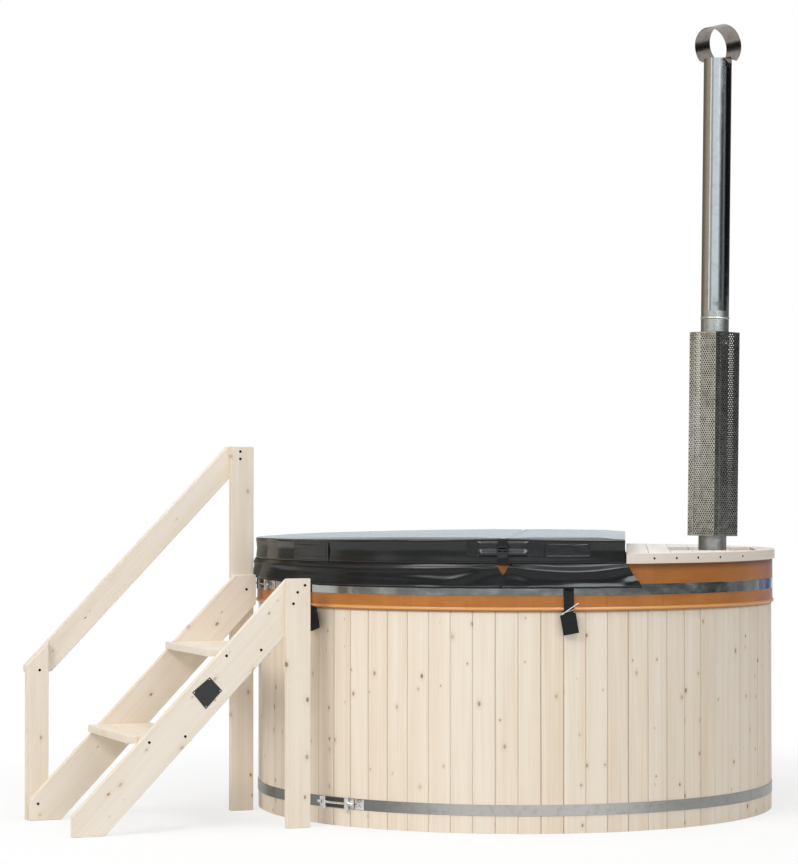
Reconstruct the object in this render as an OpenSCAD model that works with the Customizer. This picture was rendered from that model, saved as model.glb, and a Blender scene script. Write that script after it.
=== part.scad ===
// Round wooden hot tub with a stove standing in the water, its chimney and heat
// guard, a folding padded cover, a wooden stove lid and free-standing stairs.
// Millimetres. The origin is on the floor, on the tub's axis; +X points to the
// chimney, -Y to the side with the stairs' near stringer, +Z up.

/* [Cladding] */
// Radius over the board corners
clad_r = 997; // [900:1:1100]
// Number of tongue-and-groove boards round the tub
board_n = 77; // [48:1:96]
// Board thickness
board_t = 18; // [14:1:28]
// Turn of the first joint between boards
seam_a = -91.6; // [-95:0.1:-85]
// Length of a tongue
tongue_l = 6; // [3:0.5:8]
// Thickness of a tongue
tongue_t = 5; // [3:0.5:6]
// Bevel along each outer board edge
bevel = 2.5; // [1:0.5:4]
// Open joint between two boards
joint_gap = 0.4; // [0.2:0.1:1]

/* [Base] */
// Height of a floor bearer
bearer_h = 45; // [35:1:70]
// Width of a floor bearer
bearer_w = 70; // [45:1:95]
// Spacing of the bearers
bearer_pitch = 380; // [250:5:420]
// Thickness of the round deck
deck_t = 21; // [15:1:30]
// Thickness of the two rings that stiffen the wall
ring_t = 18; // [12:1:24]
// Heights of the two rings, as shares of the tub's height
ring_share = [0.345, 0.721]; // [0.2:0.001:0.78]

/* [Liner] */
// Height of the rim above the ground
tub_h = 957; // [850:1:1100]
// Wall of the moulded liner
shell_t = 4; // [3:0.5:8]
// Depth of the wall, from the board corners to the bath, under the rim
wall_top = 97; // [80:1:140]
// Depth of the wall at the bath's floor
wall_low = 127; // [100:1:160]
// Rounding between floor and wall
foot_r = 50; // [30:1:60]
// Rounding of the rim's inner edge
rim_r = 12; // [6:1:20]
// Height of the skirt that hangs over the boards
skirt_h = 167; // [120:1:220]
// How far the rolled lip stands out
lip_d = 5; // [2:0.5:8]
// Height of the rolled lip
lip_h = 14; // [8:1:20]

/* [Hoops] */
// Width of a steel hoop
hoop_w = 40; // [25:1:50]
// Thickness of a hoop
hoop_t = 1.5; // [1:0.5:3]
// Height of the lower hoop's middle
hoop_low_z = 83; // [60:1:200]
// Depth of the upper hoop's middle below the rim
hoop_drop = 92.4; // [88:0.2:120]
// Turn of the lower hoop's lock
lock_low_a = -128; // [-140:1:-110]
// Turn of the upper hoop's lock
lock_up_a = -158.5; // [-160:0.5:-150]
// Space between the middles of a lock's two lugs
lug_pitch = 112; // [90:1:140]
// Width, depth and height of a lug
lug = [16, 17, 44]; // [12:1:50]
// Diameter of a tension bolt
bolt_d = 10; // [8:1:12]
// Length of a tension bolt
bolt_l = 178; // [160:1:200]

/* [Bench] */
// Height of the seat above the bath's floor
seat_h = 430; // [380:5:480]
// Depth of the seat
seat_d = 300; // [240:5:360]
// Number of slats in the seat's depth
seat_slats = 3; // [2:1:4]
// Thickness of a seat slat
slat_t = 28; // [20:1:35]
// Gap between two slats
slat_gap = 8; // [4:1:15]
// Height of the bearer under the slats
seat_bearer_h = 70; // [50:1:95]
// Side of a square leg
leg_w = 45; // [35:1:60]

/* [Fence] */
// Distance of the fence's slats from the bath's wall behind the stove
fence_back = 496; // [490:1:520]
// Thickness and width of a fence slat
fence_slat = [20, 70]; // [15:1:90]
// Space between the outer slats and the bath's wall
fence_side = 42.2; // [20:0.1:80]
// Number of fence slats
fence_n = 14; // [9:1:14]
// Thickness and height of a fence rail
fence_rail = [22, 70]; // [20:1:95]
// Lower rail above the bath's floor, upper rail below the rim
fence_rail_at = [180, 130]; // [100:5:260]
// Top of the fence's slats below the rim
fence_drop = 12; // [5:1:40]

/* [Stove] */
// Space between the firebox and the bath's wall
stove_back = 74; // [70:1:100]
// Length of the firebox in X
stove_l = 271; // [250:1:280]
// Low and high Y of the firebox
stove_y = [-236, 206]; // [-240:1:210]
// Height of the firebox's underside above the bath's floor
stove_lift = 80; // [60:1:120]
// Plate of the firebox
stove_t = 4; // [3:0.5:6]
// Depth of the stove's top plate below the rim
stove_drop = 21; // [15:1:40]
// Reach of the top plate past the firebox
flange_w = 10; // [6:1:12]
// Side of a square stove foot
foot_w = 40; // [30:1:50]
// Height of the fire grate above the firebox's underside
grate_lift = 90; // [60:1:140]
// Diameter of a fire grate bar
grate_d = 12; // [8:1:16]
// Number of grate bars
grate_n = 8; // [5:1:10]

/* [Feed hatch] */
// Low and high X of the feed hole, from the firebox's low side
feed_from = [67, 251]; // [55:1:255]
// Low and high Y of the feed hole
feed_y = [-28, 164]; // [-30:1:170]
// How far the hatch covers the hole's edge
hatch_lap = 12; // [8:1:14]
// Thickness of the hatch plate
hatch_t = 5; // [4:0.5:8]
// Diameter of the hinge pin
hinge_d = 8; // [6:0.5:10]
// Travel of the air slider
air_travel = 26; // [20:1:28]
// Air slots' width, each
air_slot = 10; // [6:1:11]

/* [Chimney] */
// Middle of the flue, from the firebox's corner at low X and low Y
flue_in = [210, 74]; // [66:1:213]
// Lean of the chimney towards +X
flue_lean = 0.75; // [0:0.05:1.5]
// Outer radius of the pipe
pipe_r = 53.5; // [50:0.5:55]
// Wall of the pipe
pipe_t = 1; // [0.6:0.1:2]
// Height of the lower pipe
pipe_low_l = 964; // [900:1:1000]
// Height of the upper pipe that shows
pipe_up_l = 968; // [900:1:1200]
// Depth of the upper pipe's spigot
spigot_l = 50; // [30:1:70]
// Height of the collar that holds the lower pipe
collar_h = 40; // [25:1:50]
// Radius of the rain cap's arch
cap_r = 80; // [75:1:90]
// Width of the rain cap's strip
cap_w = 86; // [60:1:100]
// Height of the arch's middle over the pipe
cap_rise = 50; // [40:1:60]
// Tip of the arch
cap_tip = 15; // [0:1:20]
// Turn of the arch
cap_turn = -44; // [-90:1:0]

/* [Guard] */
// Side of the square guard
guard_w = 132; // [126:1:150]
// Sheet of the guard
guard_t = 1.2; // [0.8:0.1:2]
// Low and high end of the guard above the stove
guard_z = [104, 884]; // [60:1:950]
// Turn of the guard
guard_turn = 46; // [0:1:90]
// Width of the folded edge at each corner
guard_lap = 28; // [15:1:40]
// Diameter of the holes
guard_hole = 9; // [5:0.5:12]
// Spacing of the holes along and between rows
guard_pitch = [22, 19]; // [14:1:30]
// Height of a bracket ring
bracket_h = 20; // [12:1:30]

/* [Stove lid] */
// How far the lid reaches past the liner's skirt
lid_over = 8.4; // [2:0.2:40]
// Height of the lid
lid_h = 35; // [30:1:45]
// Thickness of the lid's boards
lid_board_t = 20; // [15:1:24]
// Thickness of the bent edge strip
lid_edge_t = 12; // [8:1:18]
// How far the cut-out reaches past the firebox, at low and high Y
cut_past = [84, 20]; // [15:1:94]
// Width of the lid's boards
lid_board_w = 82; // [78:1:84]
// Boards before the cut-out
lid_boards_in = 2; // [2:1:2]
// Boards that the cut-out goes through
lid_boards_cut = 4; // [4:1:4]
// Gap between two lid boards
lid_gap = 2; // [1:0.5:4]
// Width of a batten under the lid
batten_w = 60; // [40:1:80]
// Space between the cut-out and the battens beside it
batten_gap = 8; // [4:1:20]
// Distance of the outer battens from the lid's widest point
batten_side = 348; // [250:2:420]

/* [Cover] */
// Space between the upper hoop and the cover's side
cover_play = 3.6; // [2:0.2:12]
// How far the cover's straight end reaches past the fence's near face
cover_past = 30; // [24:1:36]
// Thickness at the outer edge
pad_edge = 79; // [50:1:110]
// Thickness at the fold
pad_mid = 92; // [60:1:130]
// Crown of each panel
pad_crown = 4; // [0:1:8]
// How far the panels' sides draw in
pad_draw = 3; // [0:1:6]
// Width of the rounded shoulder
pad_shoulder = 12; // [6:1:20]
// Width over which the crown rises
pad_soft = 120; // [60:5:160]
// Roll of the lower edge
pad_roll = 4; // [2:1:8]
// Space between the two panels
fold_gap = 6; // [4:1:12]
// Height of the hanging flap
flap_h = 86; // [60:1:100]
// Thickness of the flap
flap_t = 2.5; // [1.5:0.5:4]
// How far the flap flares
flap_flare = 8; // [4:1:12]
// Depth of the flap's folds
flap_wave = 3; // [0:0.5:4]
// Half width of the notch in the flap at the fold
notch_w = 26; // [10:1:40]
// Width of a tie strap
strap_w = 36; // [20:1:50]
// Thickness of a tie strap
strap_t = 2.4; // [1.5:0.1:3]
// Turns of the tie straps, left half and right half
strap_left_a = [-132.9, 133]; // [-179:0.1:179]
strap_right_a = [-76.6, 77]; // [-85:0.1:85]
// Low end of a tie strap below the rim
strap_drop = 257; // [180:1:350]
// Width, depth and height of a folded strap with its buckle
bundle = [68, 15, 90]; // [10:1:110]

/* [Stairs] */
// Turn of the stairs
stair_turn = 26; // [20:1:30]
// Space between the tub's boards and the upper end of the stairs
stair_gap = 12.2; // [12:0.2:60]
// Place of the near stringer's outer face, across the stairs from the tub's axis
stair_side = -439; // [-460:1:-400]
// Thickness of all the boards
plank_t = 28; // [22:1:35]
// Clear width between the stringers
stair_w = 519; // [450:1:560]
// How far the far side stands back
far_back = 16; // [0:1:30]
// Run of a stringer
stringer_run = 876; // [850:1:900]
// How far the stringers end below the tub's rim
stair_drop = 60; // [37:1:77]
// Height of a stringer's toe
toe_h = 74; // [50:1:90]
// Foot of a stringer on the floor
toe_l = 118; // [90:1:140]
// Width of the level cut on top of a stringer
top_cut = 82; // [60:1:100]
// Width of a post and of the handrail
post_w = 90; // [70:1:95]
// How far the near post stands above its stringer
post_over = 3; // [0:1:20]
// Level cut on top of the handrail at the tall post
rail_flat = 96; // [90:1:140]
// Height of the low post at its short side
low_post_h = 569; // [500:1:650]
// Start of the low post and handrail before the toe
rail_start = 18; // [0:1:40]
// Depth of a tread
tread_d = 242; // [200:1:260]
// Thickness of a tread
tread_t = 27; // [20:1:35]
// Front edges of the two treads
tread_s = [211, 509]; // [180:1:560]
// Tops of the two treads, as shares of the tub's height
tread_share = [0.3636, 0.6792]; // [0.3:0.0001:0.75]

/* [Drain] */
// Radius of the drain pipe
drain_r = 16; // [12:0.5:20]
// Height of the drain above the ground
drain_z = 150; // [140:1:170]
// Wall of the drain pipe
drain_t = 2; // [1.5:0.5:4]
// Radius of the inner flange
flange_r = 34; // [28:1:40]
// Length of the valve's body
valve_l = 56; // [45:1:70]
// Length of the tail that takes a hose
tail_l = 45; // [30:1:60]
// Length of the valve's lever
lever_l = 92; // [70:1:110]

/* [Fits] */
// Space between the cover's straight end and the lid
end_play = 4; // [2:0.5:10]
// Clearance of pieces that are laid against each other
seat = 0.3; // [0.2:0.1:0.5]
// Radial clearance of a turning pin
run = 0.05; // [0.02:0.01:0.1]

/* [Hidden] */
$fn = 96;

board_step = 360 / board_n;
half_step = board_step / 2;
wall_in_r = clad_r - board_t;                      // inner board corners
deck_r = wall_in_r * cos(half_step) - seat;        // fits inside the flat board backs
floor_z = bearer_h + deck_t;                       // underside of the liner
bath_z = floor_z + shell_t;                        // top of the bath's floor
bath_r_top = clad_r - wall_top;
bath_r_low = clad_r - wall_low;
ring_z = [for (s = ring_share) s * tub_h];
skirt_in_r = clad_r + 2 * seat;
skirt_r = skirt_in_r + shell_t;
skirt_z = tub_h - skirt_h;
board_top = tub_h - shell_t - seat;
hoop_low_r = clad_r + seat;
hoop_up_r = skirt_r + seat;
hoop_up_z = tub_h - hoop_drop;
fence_x = bath_r_top - fence_back;
stove_x = [bath_r_top - stove_back - stove_l, bath_r_top - stove_back];
feed_x = [stove_x[0] + feed_from[0], stove_x[0] + feed_from[1]];
flue_at = [stove_x[0] + flue_in[0], stove_y[0] + flue_in[1]];
stove_z = bath_z + stove_lift;
stove_top_z = tub_h - stove_drop;                  // underside of the top plate
flue_z = stove_top_z + stove_t;                    // the chimney stands on the plate
cover_z = tub_h + seat;                            // underside of the padded cover
cover_r = hoop_up_r + hoop_t + cover_play;
chord_x = fence_x + cover_past;
strap_z = tub_h - strap_drop;
lid_r = skirt_r + lid_over;
lid_x = chord_x + end_play;
lid_in_r = lid_r - lid_edge_t;
cut_y = [stove_y[0] - cut_past[0], stove_y[1] + cut_past[1]];
drain_board = round((90 - seam_a) / board_step - 0.5);
drain_a = seam_a + (drain_board + 0.5) * board_step;

spruce = [0.90, 0.80, 0.66];
caramel = [0.72, 0.42, 0.20];
steel = [0.72, 0.73, 0.75];
dark_steel = [0.35, 0.35, 0.35];
vinyl = [0.13, 0.14, 0.15];

// Radius of the bath's inner wall at height z, which leans out from the floor's rounding up
function bath_r(z) = bath_r_low
  + (bath_r_top - bath_r_low) * (z - bath_z - foot_r) / (tub_h - rim_r - bath_z - foot_r);
// Half length of a chord at distance x in a circle of radius r
function chord(r, x) = sqrt(max(r * r - x * x, 1));
// A point given along and across the ray at turn a
function on_ray(a, x, y) = [x * cos(a) - y * sin(a), x * sin(a) + y * cos(a)];
// Points of an arc
function arc_pts(c, r, a0, a1, n) =
  [for (i = [0:n]) let (a = a0 + (a1 - a0) * i / n) [c[0] + r * cos(a), c[1] + r * sin(a)]];

// ---- base and wall ----------------------------------------------------------

module base_bearers() color(spruce)
  for (i = [-2:2]) let (y = i * bearer_pitch, half = chord(deck_r - bearer_w / 2, abs(y) + bearer_w / 2))
    translate([-half, y - bearer_w / 2, 0]) cube([2 * half, bearer_w, bearer_h]);

module base_deck() color(spruce)
  translate([0, 0, bearer_h]) cylinder(r = deck_r, h = deck_t);

module wall_rings() color(spruce)
  for (z = ring_z) translate([0, 0, z]) difference() {
    cylinder(r = deck_r, h = ring_t);
    translate([0, 0, -1]) cylinder(r = bath_r(z + ring_t) + shell_t + seat, h = ring_t + 2);
  }

// One board: a groove on its first side, a tongue on the other, both square to the joint
function board_pts() = let (g = joint_gap / 2, m = clad_r - board_t / 2, t = tongue_t / 2, c = seat / 2)
  concat(
    [for (p = [[wall_in_r, g], [m - t - c, g], [m - t - c, tongue_l + c], [m + t + c, tongue_l + c],
               [m + t + c, g], [clad_r - bevel, g], [clad_r, g + bevel]])
      on_ray(-half_step, p[0], p[1])],
    [for (p = [[clad_r, -g - bevel], [clad_r - bevel, -g], [m + t, -g], [m + t, tongue_l - g],
               [m - t, tongue_l - g], [m - t, -g], [wall_in_r, -g]])
      on_ray(half_step, p[0], p[1])]);

module cladding_boards() color(spruce)
  for (i = [0:board_n - 1]) rotate([0, 0, seam_a + (i + 0.5) * board_step])
    if (i == drain_board) difference() {
      linear_extrude(board_top) polygon(board_pts());
      translate([0, 0, drain_z]) rotate([0, 90, 0]) cylinder(r = drain_r + 1, h = clad_r + 10);
    }
    else linear_extrude(board_top) polygon(board_pts());

// The liner's section: the side that shows first, then back along the hidden side
function liner_pts() = let (low = bath_r_low, top = bath_r_top, z0 = bath_z, e = rim_r, t = shell_t)
  concat(
    [[0, z0]],
    arc_pts([low - foot_r, z0 + foot_r], foot_r, -90, 0, 6),
    arc_pts([top + e, tub_h - e], e, 180, 90, 4),
    arc_pts([skirt_r - 8, tub_h - 8], 8, 90, 0, 4),
    [[skirt_r, skirt_z + lip_h], [skirt_r + lip_d * 0.8, skirt_z + lip_h * 0.8],
     [skirt_r + lip_d, skirt_z + lip_h * 0.45], [skirt_r + lip_d * 0.7, skirt_z + 1],
     [skirt_r + lip_d * 0.3, skirt_z], [skirt_in_r, skirt_z],
     [skirt_in_r, tub_h - t], [top + e, tub_h - t], [top + t, tub_h - e]],
    arc_pts([low - foot_r, z0 + foot_r], foot_r + t, 0, -90, 6),
    [[0, floor_z]]);

module liner() color(caramel) difference() {
  rotate_extrude($fn = 180) polygon(liner_pts());
  rotate([0, 0, drain_a]) translate([bath_r_low - 60, 0, drain_z]) rotate([0, 90, 0])
    cylinder(r = drain_r + run, h = 120);
}

// ---- hoops ------------------------------------------------------------------

module hoop(r, z) color(steel)
  translate([0, 0, z - hoop_w / 2]) rotate_extrude($fn = 180)
    translate([r, 0]) square([hoop_t, hoop_w]);

module hoop_lower() hoop(hoop_low_r, hoop_low_z);
module hoop_upper() hoop(hoop_up_r, hoop_up_z);

// Distance from the axis at which a lug's back stands on a hoop of inner radius r
function lug_back(r) = chord(r + hoop_t, (lug_pitch - lug[0]) / 2) + seat;
// Places a lock's pieces: x is the outside of the hoop, y runs along the bolt
module at_locks() {
  rotate([0, 0, lock_low_a]) translate([lug_back(hoop_low_r), 0, hoop_low_z]) children();
  rotate([0, 0, lock_up_a]) translate([lug_back(hoop_up_r), 0, hoop_up_z]) children();
}

lug_cut = 0.3;                                     // share of a lug's height, from its middle, left square
module hoop_lugs() color(steel) at_locks()
  for (s = [-1, 1]) difference() {
    translate([0, s * lug_pitch / 2 - lug[0] / 2, 0]) rotate([-90, 0, 0]) linear_extrude(lug[0])
      polygon([[0, -lug[2] / 2], [lug[1] * 0.6, -lug[2] / 2], [lug[1], -lug[2] * lug_cut],
               [lug[1], lug[2] * lug_cut], [lug[1] * 0.6, lug[2] / 2], [0, lug[2] / 2]]);
    translate([lug[1] / 2, s * lug_pitch / 2 - lug[0], 0]) rotate([-90, 0, 0])
      cylinder(d = bolt_d + 2 * seat, h = 2 * lug[0]);
  }

module hoop_bolts() color(steel) at_locks() translate([lug[1] / 2, 0, 0]) {
  nut_r = bolt_d * 0.82;
  nut_at = lug_pitch / 2 + lug[0] / 2 + seat;
  union() {
    translate([0, -bolt_l / 2, 0]) rotate([-90, 0, 0]) cylinder(d = bolt_d, h = bolt_l);
    for (s = [0, 180]) rotate([0, 0, s]) translate([0, nut_at, 0]) rotate([-90, 0, 0])
      cylinder(r = nut_r, h = bolt_d * 0.8, $fn = 6);
  }
}

// ---- bench and fence inside the bath -----------------------------------------

bench_z = bath_z + seat_h;                         // top of the seat
bench_out = bath_r(bench_z - slat_t - seat_bearer_h) - 3 * seat;
bench_in = bench_out - seat_d;
slat_w = (seat_d - (seat_slats - 1) * slat_gap) / seat_slats;
bench_ends = [90, 135, 180, 225, 270];

module bench_slats() color(spruce)
  for (i = [0:3]) rotate([0, 0, bench_ends[i] + 22.5])
    for (k = [0:seat_slats - 1])
      let (x1 = bench_out * cos(22.5) - k * (slat_w + slat_gap), x0 = x1 - slat_w,
           h1 = x1 * tan(22.5) - slat_gap / 2, h0 = x0 * tan(22.5) - slat_gap / 2)
        translate([0, 0, bench_z - slat_t]) linear_extrude(slat_t)
          polygon([[x0, -h0], [x1, -h1], [x1, h1], [x0, h0]]);

module bench_bearers() color(spruce)
  for (a = bench_ends) rotate([0, 0, a])
    translate([bench_in, -slat_t / 2, bench_z - slat_t - seat_bearer_h])
      cube([seat_d, slat_t, seat_bearer_h]);

module bench_legs() color(spruce)
  for (a = bench_ends) rotate([0, 0, a]) translate([bench_in, -leg_w / 2, bath_z])
    cube([leg_w, leg_w, bench_z - slat_t - seat_bearer_h - bath_z]);

fence_low = bath_z + foot_r;
fence_top = tub_h - fence_drop;
rail_x = fence_x + fence_slat[0];
rail_z = [bath_z + fence_rail_at[0], tub_h - fence_rail_at[1]];
fence_half = chord(bath_r_low, rail_x) - fence_side;
fence_pitch = (2 * fence_half - fence_slat[1]) / (fence_n - 1);

module fence_slats() color(spruce)
  for (i = [0:fence_n - 1]) let (y = (i - (fence_n - 1) / 2) * fence_pitch)
    translate([fence_x, y - fence_slat[1] / 2, fence_low])
      cube([fence_slat[0], fence_slat[1], fence_top - fence_low]);

module fence_rails() color(spruce)
  for (z = rail_z) let (half = chord(bath_r(z), rail_x + fence_rail[0]) - seat)
    translate([rail_x, -half, z]) cube([fence_rail[0], 2 * half, fence_rail[1]]);

// ---- stove -------------------------------------------------------------------

stove_size = [stove_x[1] - stove_x[0], stove_y[1] - stove_y[0], stove_top_z - stove_z];
grate_z = stove_z + grate_lift;
ledge_w = 20;

module firebox() color(steel) {
  translate([stove_x[0], stove_y[0], stove_z]) difference() {
    cube(stove_size);
    translate([stove_t, stove_t, stove_t])
      cube([stove_size[0] - 2 * stove_t, stove_size[1] - 2 * stove_t, stove_size[2]]);
  }
  // ledges that the grate lies on
  for (y = [stove_y[0] + stove_t / 2, stove_y[1] - stove_t / 2 - ledge_w])
    translate([stove_x[0] + stove_t / 2, y, grate_z - stove_t])
      cube([stove_size[0] - stove_t, ledge_w, stove_t]);
}

module fire_grate() color(dark_steel) {
  in_x = [stove_x[0] + stove_t + 4, stove_x[1] - stove_t - 4];
  in_y = [stove_y[0] + stove_t + 3, stove_y[1] - stove_t - 3];
  pitch = (in_x[1] - in_x[0] - grate_d) / (grate_n - 1);
  for (i = [0:grate_n - 1]) translate([in_x[0] + i * pitch, in_y[0], grate_z])
    cube([grate_d, in_y[1] - in_y[0], grate_d]);
  for (y = in_y) translate([in_x[0], y - (y == in_y[1] ? grate_d : 0), grate_z])
    cube([in_x[1] - in_x[0], grate_d, grate_d]);
}

module stove_feet() color(steel)
  for (x = [stove_x[0] + 20, stove_x[1] - 70 - foot_w])
    for (y = [stove_y[0] + 60, stove_y[1] - 60 - foot_w])
      translate([x, y, bath_z]) difference() {
        cube([foot_w, foot_w, stove_lift]);
        translate([stove_t, stove_t, -1]) cube([foot_w, foot_w, stove_lift + 2]);
      }

// Everything on the leaning flue is placed from its foot
module on_flue() translate([flue_at[0], flue_at[1], flue_z]) rotate([0, flue_lean, 0]) children();

hinge_y = feed_y[1] + hatch_lap + hinge_d;
hinge_z = flue_z + seat + hatch_t + hinge_d / 2;
knuckle_r = hinge_d / 2 + 3;
knuckle_l = 24;
hatch_w = feed_x[1] - feed_x[0] + 2 * hatch_lap;
hatch_mid = (feed_x[0] + feed_x[1]) / 2;
knuckle_at = [for (s = [-1, 1]) hatch_mid + s * hatch_w * 0.32];

module stove_top() color(steel) difference() {
  union() {
    translate([stove_x[0] - flange_w, stove_y[0] - flange_w, stove_top_z])
      cube([stove_size[0] + 2 * flange_w, stove_size[1] + 2 * flange_w, stove_t]);
    on_flue() translate([0, 0, -2]) cylinder(r = pipe_r + seat + pipe_t * 2, h = collar_h + 2);
    // outer pair of hinge knuckles on short feet
    for (x = knuckle_at) let (out = x < hatch_mid ? -1 : 1) {
      translate([x + out * (knuckle_l / 2 + seat) - (out < 0 ? knuckle_l : 0), hinge_y, hinge_z])
        rotate([0, 90, 0]) cylinder(r = knuckle_r, h = knuckle_l);
      translate([x + out * (knuckle_l / 2 + seat) - (out < 0 ? knuckle_l : 0), hinge_y, stove_top_z])
        cube([knuckle_l, knuckle_r, hinge_z - stove_top_z]);
    }
  }
  translate([feed_x[0], feed_y[0], stove_top_z - 1])
    cube([feed_x[1] - feed_x[0], feed_y[1] - feed_y[0], stove_t + 2]);
  on_flue() translate([0, 0, 0.7]) cylinder(r = pipe_r + seat, h = collar_h);
  on_flue() translate([0, 0, -20]) cylinder(r = pipe_r - 4, h = collar_h);
  translate([hatch_mid - hatch_w, hinge_y, hinge_z]) rotate([0, 90, 0])
    cylinder(d = hinge_d + 2 * run, h = 2 * hatch_w);
}

air_at = [hatch_mid, (feed_y[0] + feed_y[1]) / 2];
air_plate = [92, 62, 3];
guide_w = 6;
guide_t = 2;
guide_lip = 5;
guide_h = hatch_t + air_plate[2] + 2 * seat;       // underside of the lips above the hatch's back

module hatch_plate() color(dark_steel) difference() {
  union() {
    translate([feed_x[0] - hatch_lap, feed_y[0] - hatch_lap, flue_z + seat])
      cube([hatch_w, feed_y[1] - feed_y[0] + 2 * hatch_lap, hatch_t]);
    // inner pair of hinge knuckles
    for (x = knuckle_at) {
      translate([x - knuckle_l / 2, hinge_y, hinge_z]) rotate([0, 90, 0])
        cylinder(r = knuckle_r, h = knuckle_l);
      translate([x - knuckle_l / 2, hinge_y - knuckle_r - 4, flue_z + seat])
        cube([knuckle_l, knuckle_r + 4, hatch_t + hinge_d / 2]);
    }
    // guides of the air slider, each with a lip over the slider's edge
    for (s = [-1, 1]) let (y = air_at[1] + s * (air_plate[1] / 2 + guide_w / 2 + seat))
      translate([air_at[0] - air_plate[0] / 2, y, flue_z + seat]) {
        translate([0, -guide_w / 2, 0]) cube([air_plate[0], guide_w, guide_h + guide_t]);
        translate([0, -guide_w / 2 - (s > 0 ? guide_lip : 0), guide_h])
          cube([air_plate[0], guide_w + guide_lip, guide_t]);
      }
  }
  translate([hatch_mid - hatch_w, hinge_y, hinge_z]) rotate([0, 90, 0])
    cylinder(d = hinge_d + 2 * run, h = 2 * hatch_w);
  // air slots, open where the slider's slots stand over them
  for (i = [-1:1]) translate([air_at[0] + i * air_travel - air_slot / 2, air_at[1] - 20, flue_z - 1])
    cube([air_slot, 40, hatch_t + 4]);
}

module hatch_handle() color(dark_steel) {
  grip_y = feed_y[0] + 4;
  top = flue_z + seat + hatch_t;
  for (s = [-1, 1]) translate([hatch_mid + s * 50, grip_y, top]) cylinder(d = 10, h = 26);
  translate([hatch_mid - 62, grip_y, top + 26]) rotate([0, 90, 0]) cylinder(d = 12, h = 124);
}

module hatch_pin() color(steel)
  translate([hatch_mid - hatch_w * 0.32 - knuckle_l * 1.5 - 1, hinge_y, hinge_z]) rotate([0, 90, 0])
    cylinder(d = hinge_d, h = hatch_w * 0.64 + knuckle_l * 3 + 2);

// Shown shut: its slots stand half a travel beside the plate's
module air_slider() color(dark_steel) translate([air_at[0], air_at[1], flue_z + hatch_t + 2 * seat]) {
  difference() {
    translate([-air_plate[0] / 2 - air_travel / 2, -air_plate[1] / 2, 0]) cube(air_plate);
    for (i = [-1:1]) translate([(i - 0.5) * air_travel - air_slot / 2, -20, -1])
      cube([air_slot, 40, air_plate[2] + 2]);
  }
  translate([0, 0, air_plate[2] - 0.5]) cylinder(d = 9, h = 18);
}

// ---- chimney -----------------------------------------------------------------

bead = 2;
joint_z = 1 + pipe_low_l;                          // along the flue, from its foot
pipe_top = joint_z + seat + pipe_up_l;

module chimney_lower() color(steel) on_flue() rotate_extrude()
  polygon([[pipe_r - pipe_t, 1], [pipe_r, 1], [pipe_r, joint_z - 34], [pipe_r + bead, joint_z - 30],
           [pipe_r + bead, joint_z - 26], [pipe_r, joint_z - 22], [pipe_r, joint_z],
           [pipe_r - pipe_t, joint_z]]);

module chimney_upper() color(steel) on_flue() rotate_extrude()
  let (s = pipe_r - pipe_t - seat, j = joint_z + seat)
    polygon([[s - pipe_t, joint_z - spigot_l], [s, joint_z - spigot_l], [s, j], [pipe_r, j],
             [pipe_r + bead, j + 4], [pipe_r + bead, j + 8], [pipe_r, j + 12],
             [pipe_r, pipe_top], [pipe_r - pipe_t, pipe_top], [pipe_r - pipe_t, j + 12],
             [s - pipe_t, j + 2]]);

module on_cap() on_flue() translate([0, 0, pipe_top]) rotate([0, 0, cap_turn]) children();

cap_foot = 4;                                      // how far the arch's ends reach below the pipe's top

module rain_cap() color(steel) on_cap() intersection() {
  translate([0, 0, cap_rise]) rotate([90 + cap_tip, 0, 0]) linear_extrude(cap_w, center = true)
    difference() {
      circle(r = cap_r);
      circle(r = cap_r - 1.5);
    }
  translate([-cap_r, -cap_r, -cap_foot]) cube([2 * cap_r, 2 * cap_r, 3 * cap_r]);
}

module cap_lugs() color(steel) on_cap()
  for (s = [0, 180]) rotate([0, 0, s]) {
    translate([pipe_r + seat, -18, -32]) cube([1.5, 36, 32 - cap_foot - seat]);
    translate([pipe_r + seat, -18, -cap_foot - seat - 1.5]) cube([17, 36, 1.5]);
  }

// ---- heat guard ---------------------------------------------------------------

guard_l = guard_z[1] - guard_z[0];
hole_rows = floor((guard_l - 2 * guard_hole) / guard_pitch[1]);
hole_cols = floor((guard_w - guard_lap - 2 * guard_hole) / guard_pitch[0]);
hole_x = guard_lap + guard_hole;                   // first hole, from the side's edge
hole_z = guard_hole * 1.5;                         // first row, from the lower end

// One side: a perforated sheet whose edge folds round the corner onto the next side
module guard_panel(i) color(dark_steel) on_flue() translate([0, 0, guard_z[0]])
  rotate([0, 0, guard_turn + 90 * i]) {
    w = guard_w / 2;
    translate([w, -w, 0]) rotate([90, 0, 90]) linear_extrude(guard_t) difference() {
      translate([seat, 0]) square([guard_w + 2 * guard_t, guard_l]);
      for (r = [0:hole_rows]) for (c = [0:hole_cols - r % 2])
        translate([hole_x + (c + (r % 2) / 2) * guard_pitch[0], hole_z + r * guard_pitch[1]])
          circle(d = guard_hole, $fn = 24);
    }
    translate([w - guard_lap, w + guard_t + seat, 0]) cube([guard_lap + guard_t, guard_t, guard_l]);
  }

module guard_panel_1() guard_panel(0);
module guard_panel_2() guard_panel(1);
module guard_panel_3() guard_panel(2);
module guard_panel_4() guard_panel(3);

module guard_brackets() color(steel) on_flue()
  for (z = [guard_z[0] + 30, guard_z[1] - 30 - bracket_h]) translate([0, 0, z]) rotate([0, 0, guard_turn]) {
    difference() {
      cylinder(r = pipe_r + seat + 2, h = bracket_h);
      translate([0, 0, -1]) cylinder(r = pipe_r + seat, h = bracket_h + 2);
    }
    for (a = [0:90:270]) rotate([0, 0, a]) translate([pipe_r + seat + 1, -8, 0])
      cube([guard_w / 2 - pipe_r - 2 * seat - 1, 16, bracket_h]);
  }

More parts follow.
